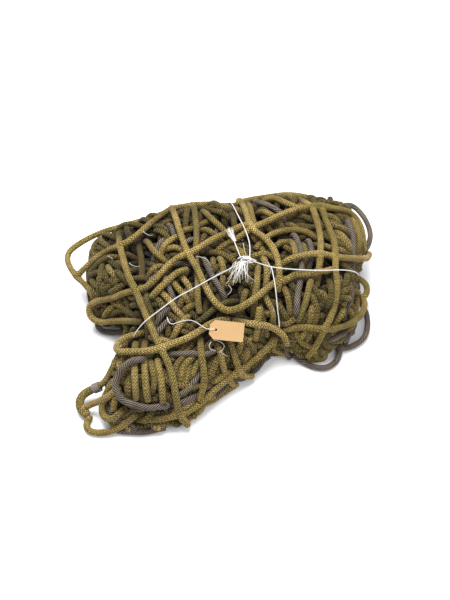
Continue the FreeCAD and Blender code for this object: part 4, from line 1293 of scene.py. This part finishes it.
def knotParts(values):
    x, y, z = values["place"]
    turns = [
        [(-0.012, 0.004, 0.002), (-0.006, 0.009, 0.004), (0.003, 0.007, 0.005), (0.008, 0.001, 0.004),
         (0.004, -0.006, 0.002), (-0.004, -0.006, 0.0), (-0.009, 0.0, 0.003), (-0.002, 0.004, 0.006),
         (0.007, 0.003, 0.004), (0.014, -0.001, 0.001)],
        [(-0.010, -0.005, 0.0), (-0.003, -0.007, 0.004), (0.005, -0.004, 0.006), (0.007, 0.003, 0.006),
         (0.001, 0.008, 0.003), (-0.006, 0.006, 0.001), (-0.008, -0.001, 0.0), (0.0, -0.005, 0.002),
         (0.009, -0.006, 0.002)],
        [(-0.003, 0.011, 0.001), (-0.005, 0.004, 0.006), (0.0, -0.002, 0.0075), (0.006, 0.001, 0.006),
         (0.004, 0.008, 0.003), (-0.002, 0.007, 0.0), (-0.006, 0.0, -0.001)],
    ]
    parts = []
    for turn in turns:
        line = smoothLine([(x + 1.35 * a, y + b, z + c) for a, b, c in turn])
        parts.append(twinePart(line, 0.0025, 3, 0.0065, 12))
    local = np.random.default_rng(77)
    for i in range(values["frays"]):
        angle = math.radians(local.normal(258, 12))
        length = local.uniform(*values["frayLength"])
        startX = x - 0.008 + local.normal(0, 0.004)
        startY = y - 0.004 + local.normal(0, 0.002)
        points = []
        swing = local.normal(0, 0.25)
        for k in range(6):
            share = k / 5
            heading = angle + swing * share
            farX = startX + math.cos(heading) * length * share + local.normal(0, 0.0012) * share
            farY = startY + math.sin(heading) * length * share + local.normal(0, 0.0012) * share
            height = z + 0.002 + 0.004 * math.sin(3 * share) - 0.006 * share * share
            points.append((farX, farY, height + local.normal(0, 0.001)))
        parts.append(twinePart(smoothLine(points), values["frayDiameter"], 2, 0.003, 6, ends=(1.2, 0.5)))
    return parts


knotPiece = buildPiece("tie_knot_turns", knotParts(knotValues), whiteString)
fasten(knotPiece, "bundle", "string", "tie_knot")

tasselValues = {"root": (0.026, 0.071, 0.1715), "tip": (0.012, 0.104, 0.1725), "hairs": 34}


def tasselParts(values):
    root = Vector(values["root"])
    tip = Vector(values["tip"])
    heading = (tip - root).normalized()
    side = heading.cross(Vector((0, 0, 1))).normalized()
    local = np.random.default_rng(78)
    parts = []
    for i in range(values["hairs"]):
        across = local.normal(0, 0.0017)
        above = abs(local.normal(0, 0.0012))
        length = (tip - root).length * local.uniform(0.75, 1.08)
        points = []
        for k in range(5):
            share = k / 4
            spread = 0.5 + 1.4 * share
            points.append(tuple(root + heading * (length * share - 0.004)
                                + side * (across * spread + local.normal(0, 0.0005))
                                + Vector((0, 0, above * spread))))
        parts.append(twinePart(smoothLine(points), 0.0008, 2, 0.003, 6, ends=(1.2, 0.6)))
    return parts


tassel = buildPiece("string_tassel", tasselParts(tasselValues), whiteString)
fasten(tassel, "bundle", "string")
print("tie string made")

threadValues = {"diameter": 0.0012, "tagDiameter": 0.0015, "strands": 2, "lay": 0.004}


def threadParts(names, diameter):
    strands, lay = threadValues["strands"], threadValues["lay"]
    return [twinePart(smoothLine(threadRoutes[name]), diameter, strands, lay, 6, ends=(1.0, 0.5))
            for name in names]


strayNames = [name for name in threadRoutes if "tag" not in name]
threads = buildPiece("stray_threads", threadParts(strayNames, threadValues["diameter"]), whiteString)
fasten(threads, "bundle", "string")

# tag
tagValues = {
    "length": 0.064, "width": 0.036, "thickness": 0.0006, "chamfer": 0.009,
    "holeRadius": 0.0024, "holeInset": 0.012, "patchRadius": 0.008,
    "centre": (0.011, -0.126, 0.139), "tilt": 30.0, "turn": -6.0,
    "curl": 0.0012, "string": 0.0016, "stringLay": 0.005,
}


def tagPlace(x, y, z):
    # from the tag's own plane to where it lies
    turn = math.radians(tagValues["turn"])
    tilt = math.radians(tagValues["tilt"])
    flatX = x * math.cos(turn) - y * math.sin(turn)
    flatY = x * math.sin(turn) + y * math.cos(turn)
    cx, cy, cz = tagValues["centre"]
    return (cx + flatX, cy + flatY * math.cos(tilt) - z * math.sin(tilt),
            cz + flatY * math.sin(tilt) + z * math.cos(tilt))


def curlHeight(x, y):
    # card that has been carried about: its free end and corners lift a little
    share = max(0.0, (x / tagValues["length"]) + 0.1)
    cornerLift = 7.5
    return tagValues["curl"] * share ** 2 * (1 + cornerLift * y * y / tagValues["width"] ** 2)


def tagOutline():
    left = -tagValues["length"] / 2
    right = -left
    side = tagValues["width"] / 2
    cut = tagValues["chamfer"]
    return [(left, -side + cut), (left + cut, -side), (right, -side), (right, side), (left + cut, side),
            (left, side - cut)]


def cardRing(outline, count):
    # the same number of points round any outline, evenly spaced by angle from the hole's centre
    holeX = -tagValues["length"] / 2 + tagValues["holeInset"]
    ring = []
    for i in range(count):
        angle = 2 * math.pi * i / count
        dx, dy = math.cos(angle), math.sin(angle)
        best = None
        for (ax, ay), (bx, by) in zip(outline, outline[1:] + outline[:1]):
            ex, ey = bx - ax, by - ay
            cross = dx * ey - dy * ex
            if abs(cross) < 1e-12:
                continue
            t = ((ax - holeX) * ey - ay * ex) / cross
            u = ((ax - holeX) * dy - ay * dx) / cross
            if t > 0 and -1e-9 <= u <= 1 + 1e-9 and (best is None or t < best):
                best = t
        ring.append((holeX + dx * best, dy * best))
    return ring


def cardPiece(name, material, outerRing, innerRadius, steps, low, high, curl):
    # a thin card between an outer ring and a round hole, with both faces and its edges
    holeX = -tagValues["length"] / 2 + tagValues["holeInset"]
    count = len(outerRing)
    points = []
    for level in (low, high):
        for step in range(steps + 1):
            share = (step / steps) ** 0.8
            for i, (ox, oy) in enumerate(outerRing):
                angle = 2 * math.pi * i / count
                ix = holeX + innerRadius * math.cos(angle)
                iy = innerRadius * math.sin(angle)
                x = ix + (ox - ix) * share
                y = iy + (oy - iy) * share
                lift = curlHeight(x, y) if curl else 0
                points.append(tagPlace(x, y, level + lift))
    layer = (steps + 1) * count
    faces = []
    for step in range(steps):
        for i in range(count):
            j = (i + 1) % count
            a, b = step * count + i, step * count + j
            c, d = (step + 1) * count + j, (step + 1) * count + i
            faces.append((a, b, c, d))
            faces.append((layer + d, layer + c, layer + b, layer + a))
    for i in range(count):
        j = (i + 1) % count
        faces.append((j, i, layer + i, layer + j))
        outer = steps * count
        faces.append((outer + i, outer + j, layer + outer + j, layer + outer + i))
    mesh = bpy.data.meshes.new(name)
    mesh.from_pydata(points, [], faces)
    mesh.materials.append(material)
    mesh.validate()
    piece = bpy.data.objects.new(name, mesh)
    bpy.context.scene.collection.objects.link(piece)
    return piece


patchCard = manilaCard("manilaPatchBuff", "#B08D60", "#B89567")
card = cardPiece("tag_card_sheet", manila, cardRing(tagOutline(), 96), tagValues["holeRadius"], 14,
                 0, tagValues["thickness"], True)
fasten(card, "tag", "tag_card", "tag_card")
holeCentre = (-tagValues["length"] / 2 + tagValues["holeInset"], 0)
patchRing = [(holeCentre[0] + tagValues["patchRadius"] * math.cos(2 * math.pi * i / 48),
              tagValues["patchRadius"] * math.sin(2 * math.pi * i / 48)) for i in range(48)]
patch = cardPiece("tag_patch_disc", patchCard, patchRing, tagValues["holeRadius"], 3,
                  tagValues["thickness"], tagValues["thickness"] + 0.00025, False)
fasten(patch, "tag", "tag_patch", "tag_patch")

loopValues = {"diameter": 0.0014, "points": 14}


def loopLine():
    # the string goes through the hole, round the tag's end and into a small knot there
    holeX = holeCentre[0] - 0.0013
    endX = -tagValues["length"] / 2 - 0.0032
    middle = (holeX + endX) / 2
    radius = (holeX - endX) / 2
    points = []
    for i in range(loopValues["points"] + 1):
        angle = math.pi + 2 * math.pi * i / loopValues["points"]
        points.append(tagPlace(middle + radius * math.cos(angle), 0.0006 * math.sin(2 * angle),
                               0.0003 + 0.55 * radius * math.sin(angle)))
    return smoothLine(points)


loop = twinePart(loopLine(), loopValues["diameter"], 2, tagValues["stringLay"], 10)
tagLoop = buildPiece("tag_loop_string", [loop], whiteString)
fasten(tagLoop, "tag", "string", "tag_string_loop")

lines["tag_string"] = smoothLine(tagStringRoute)
endNames = [name for name in threadRoutes if "tag" in name]
tagEnds = buildPiece("tag_string_ends", threadParts(endNames, threadValues["tagDiameter"]), whiteString)
fasten(tagEnds, "bundle", "string")
run = twinePart(lines["tag_string"], tagValues["string"], 2, tagValues["stringLay"], 10)
tagString = buildPiece("tag_string_run", [run], whiteString)
fasten(tagString, "bundle", "string", "tag_string")
stringPieces["tag_string"] = tagString
print("tag made")

# floor and light
stageValues = {
    "floorColour": "#FBFBFA",
    "skyColour": "#F2F5FF",
    "skyStrength": 0.58,
    "lamps": [  # place, aim, size across in metres, power in watts
        ((-0.2, 0.4, 1.95), (0, 0, 0.05), 1.3, 67.0),
        ((0.9, -1.2, 1.7), (0, 0, 0.05), 1.8, 16.0),
    ],
}


def setStage(values):
    mesh = bpy.data.meshes.new("floor")
    mesh.from_pydata([(-6, -6, 0), (6, -6, 0), (6, 6, 0), (-6, 6, 0)], [], [(0, 1, 2, 3)])
    material, tree = newMaterial("paleBoard")  # smooth pale studio board, matt
    board = addNode(tree, "ShaderNodeBsdfPrincipled", None,
                    {"Base Color": linearColour(values["floorColour"]), "Roughness": 0.9,
                     "Specular IOR Level": 0.2})
    addNode(tree, "ShaderNodeOutputMaterial", None, {"Surface": board.outputs["BSDF"]})
    mesh.materials.append(material)
    floor = bpy.data.objects.new("floor", mesh)
    bpy.context.scene.collection.objects.link(floor)
    world = bpy.data.worlds.new("studio")
    world.use_nodes = True
    sky = world.node_tree.nodes["Background"]
    sky.inputs["Color"].default_value = linearColour(values["skyColour"])
    sky.inputs["Strength"].default_value = values["skyStrength"]
    bpy.context.scene.world = world
    for number, (place, aim, size, power) in enumerate(values["lamps"]):
        data = bpy.data.lights.new(f"softbox{number + 1}", "AREA")
        data.shape = "DISK"
        data.size = size
        data.energy = power
        lamp = bpy.data.objects.new(f"softbox{number + 1}", data)
        lamp.location = place
        lamp.rotation_euler = (Vector(aim) - Vector(place)).to_track_quat("-Z", "Y").to_euler()
        bpy.context.scene.collection.objects.link(lamp)
    bpy.context.scene.view_settings.view_transform = "Standard"


setStage(stageValues)

# ropes and strings ranked by length, with a count of those long enough to be free cords
cordValues = {
    "most": 40,
    "shortest": 6.2,  # diameters
    "ropeDivisor": 3,  # a rope's length is divided by this in the ranking, as it is thicker
    "kinds": {  # first word of the name: diameter and stiffness
        "net": (braidValues["diameter"], "medium"),
        "twisted": (laidValues["diameter"], "medium"),
        "corner": (eyeValues["diameter"], "medium"),
        "tie": (stringValues["diameter"], "limp"),
        "tag": (tagValues["string"], "limp"),
    },
}


def declareCords(values):
    everyPiece = {**outerPieces, **stringPieces}
    lengths = {name: lineLength(lines[name]) for name in everyPiece}
    weights = {name: 1 if "string" in name else values["ropeDivisor"] for name in everyPiece}
    ranked = sorted(everyPiece, key=lambda name: -lengths[name] / weights[name])
    declared = 0
    for name in ranked:
        diameter, stiffness = values["kinds"][name.split("_")[0]]
        if lengths[name] < values["shortest"] * diameter or declared == values["most"]:
            continue
        declared += 1
    print("cords declared", declared)


declareCords(cordValues)
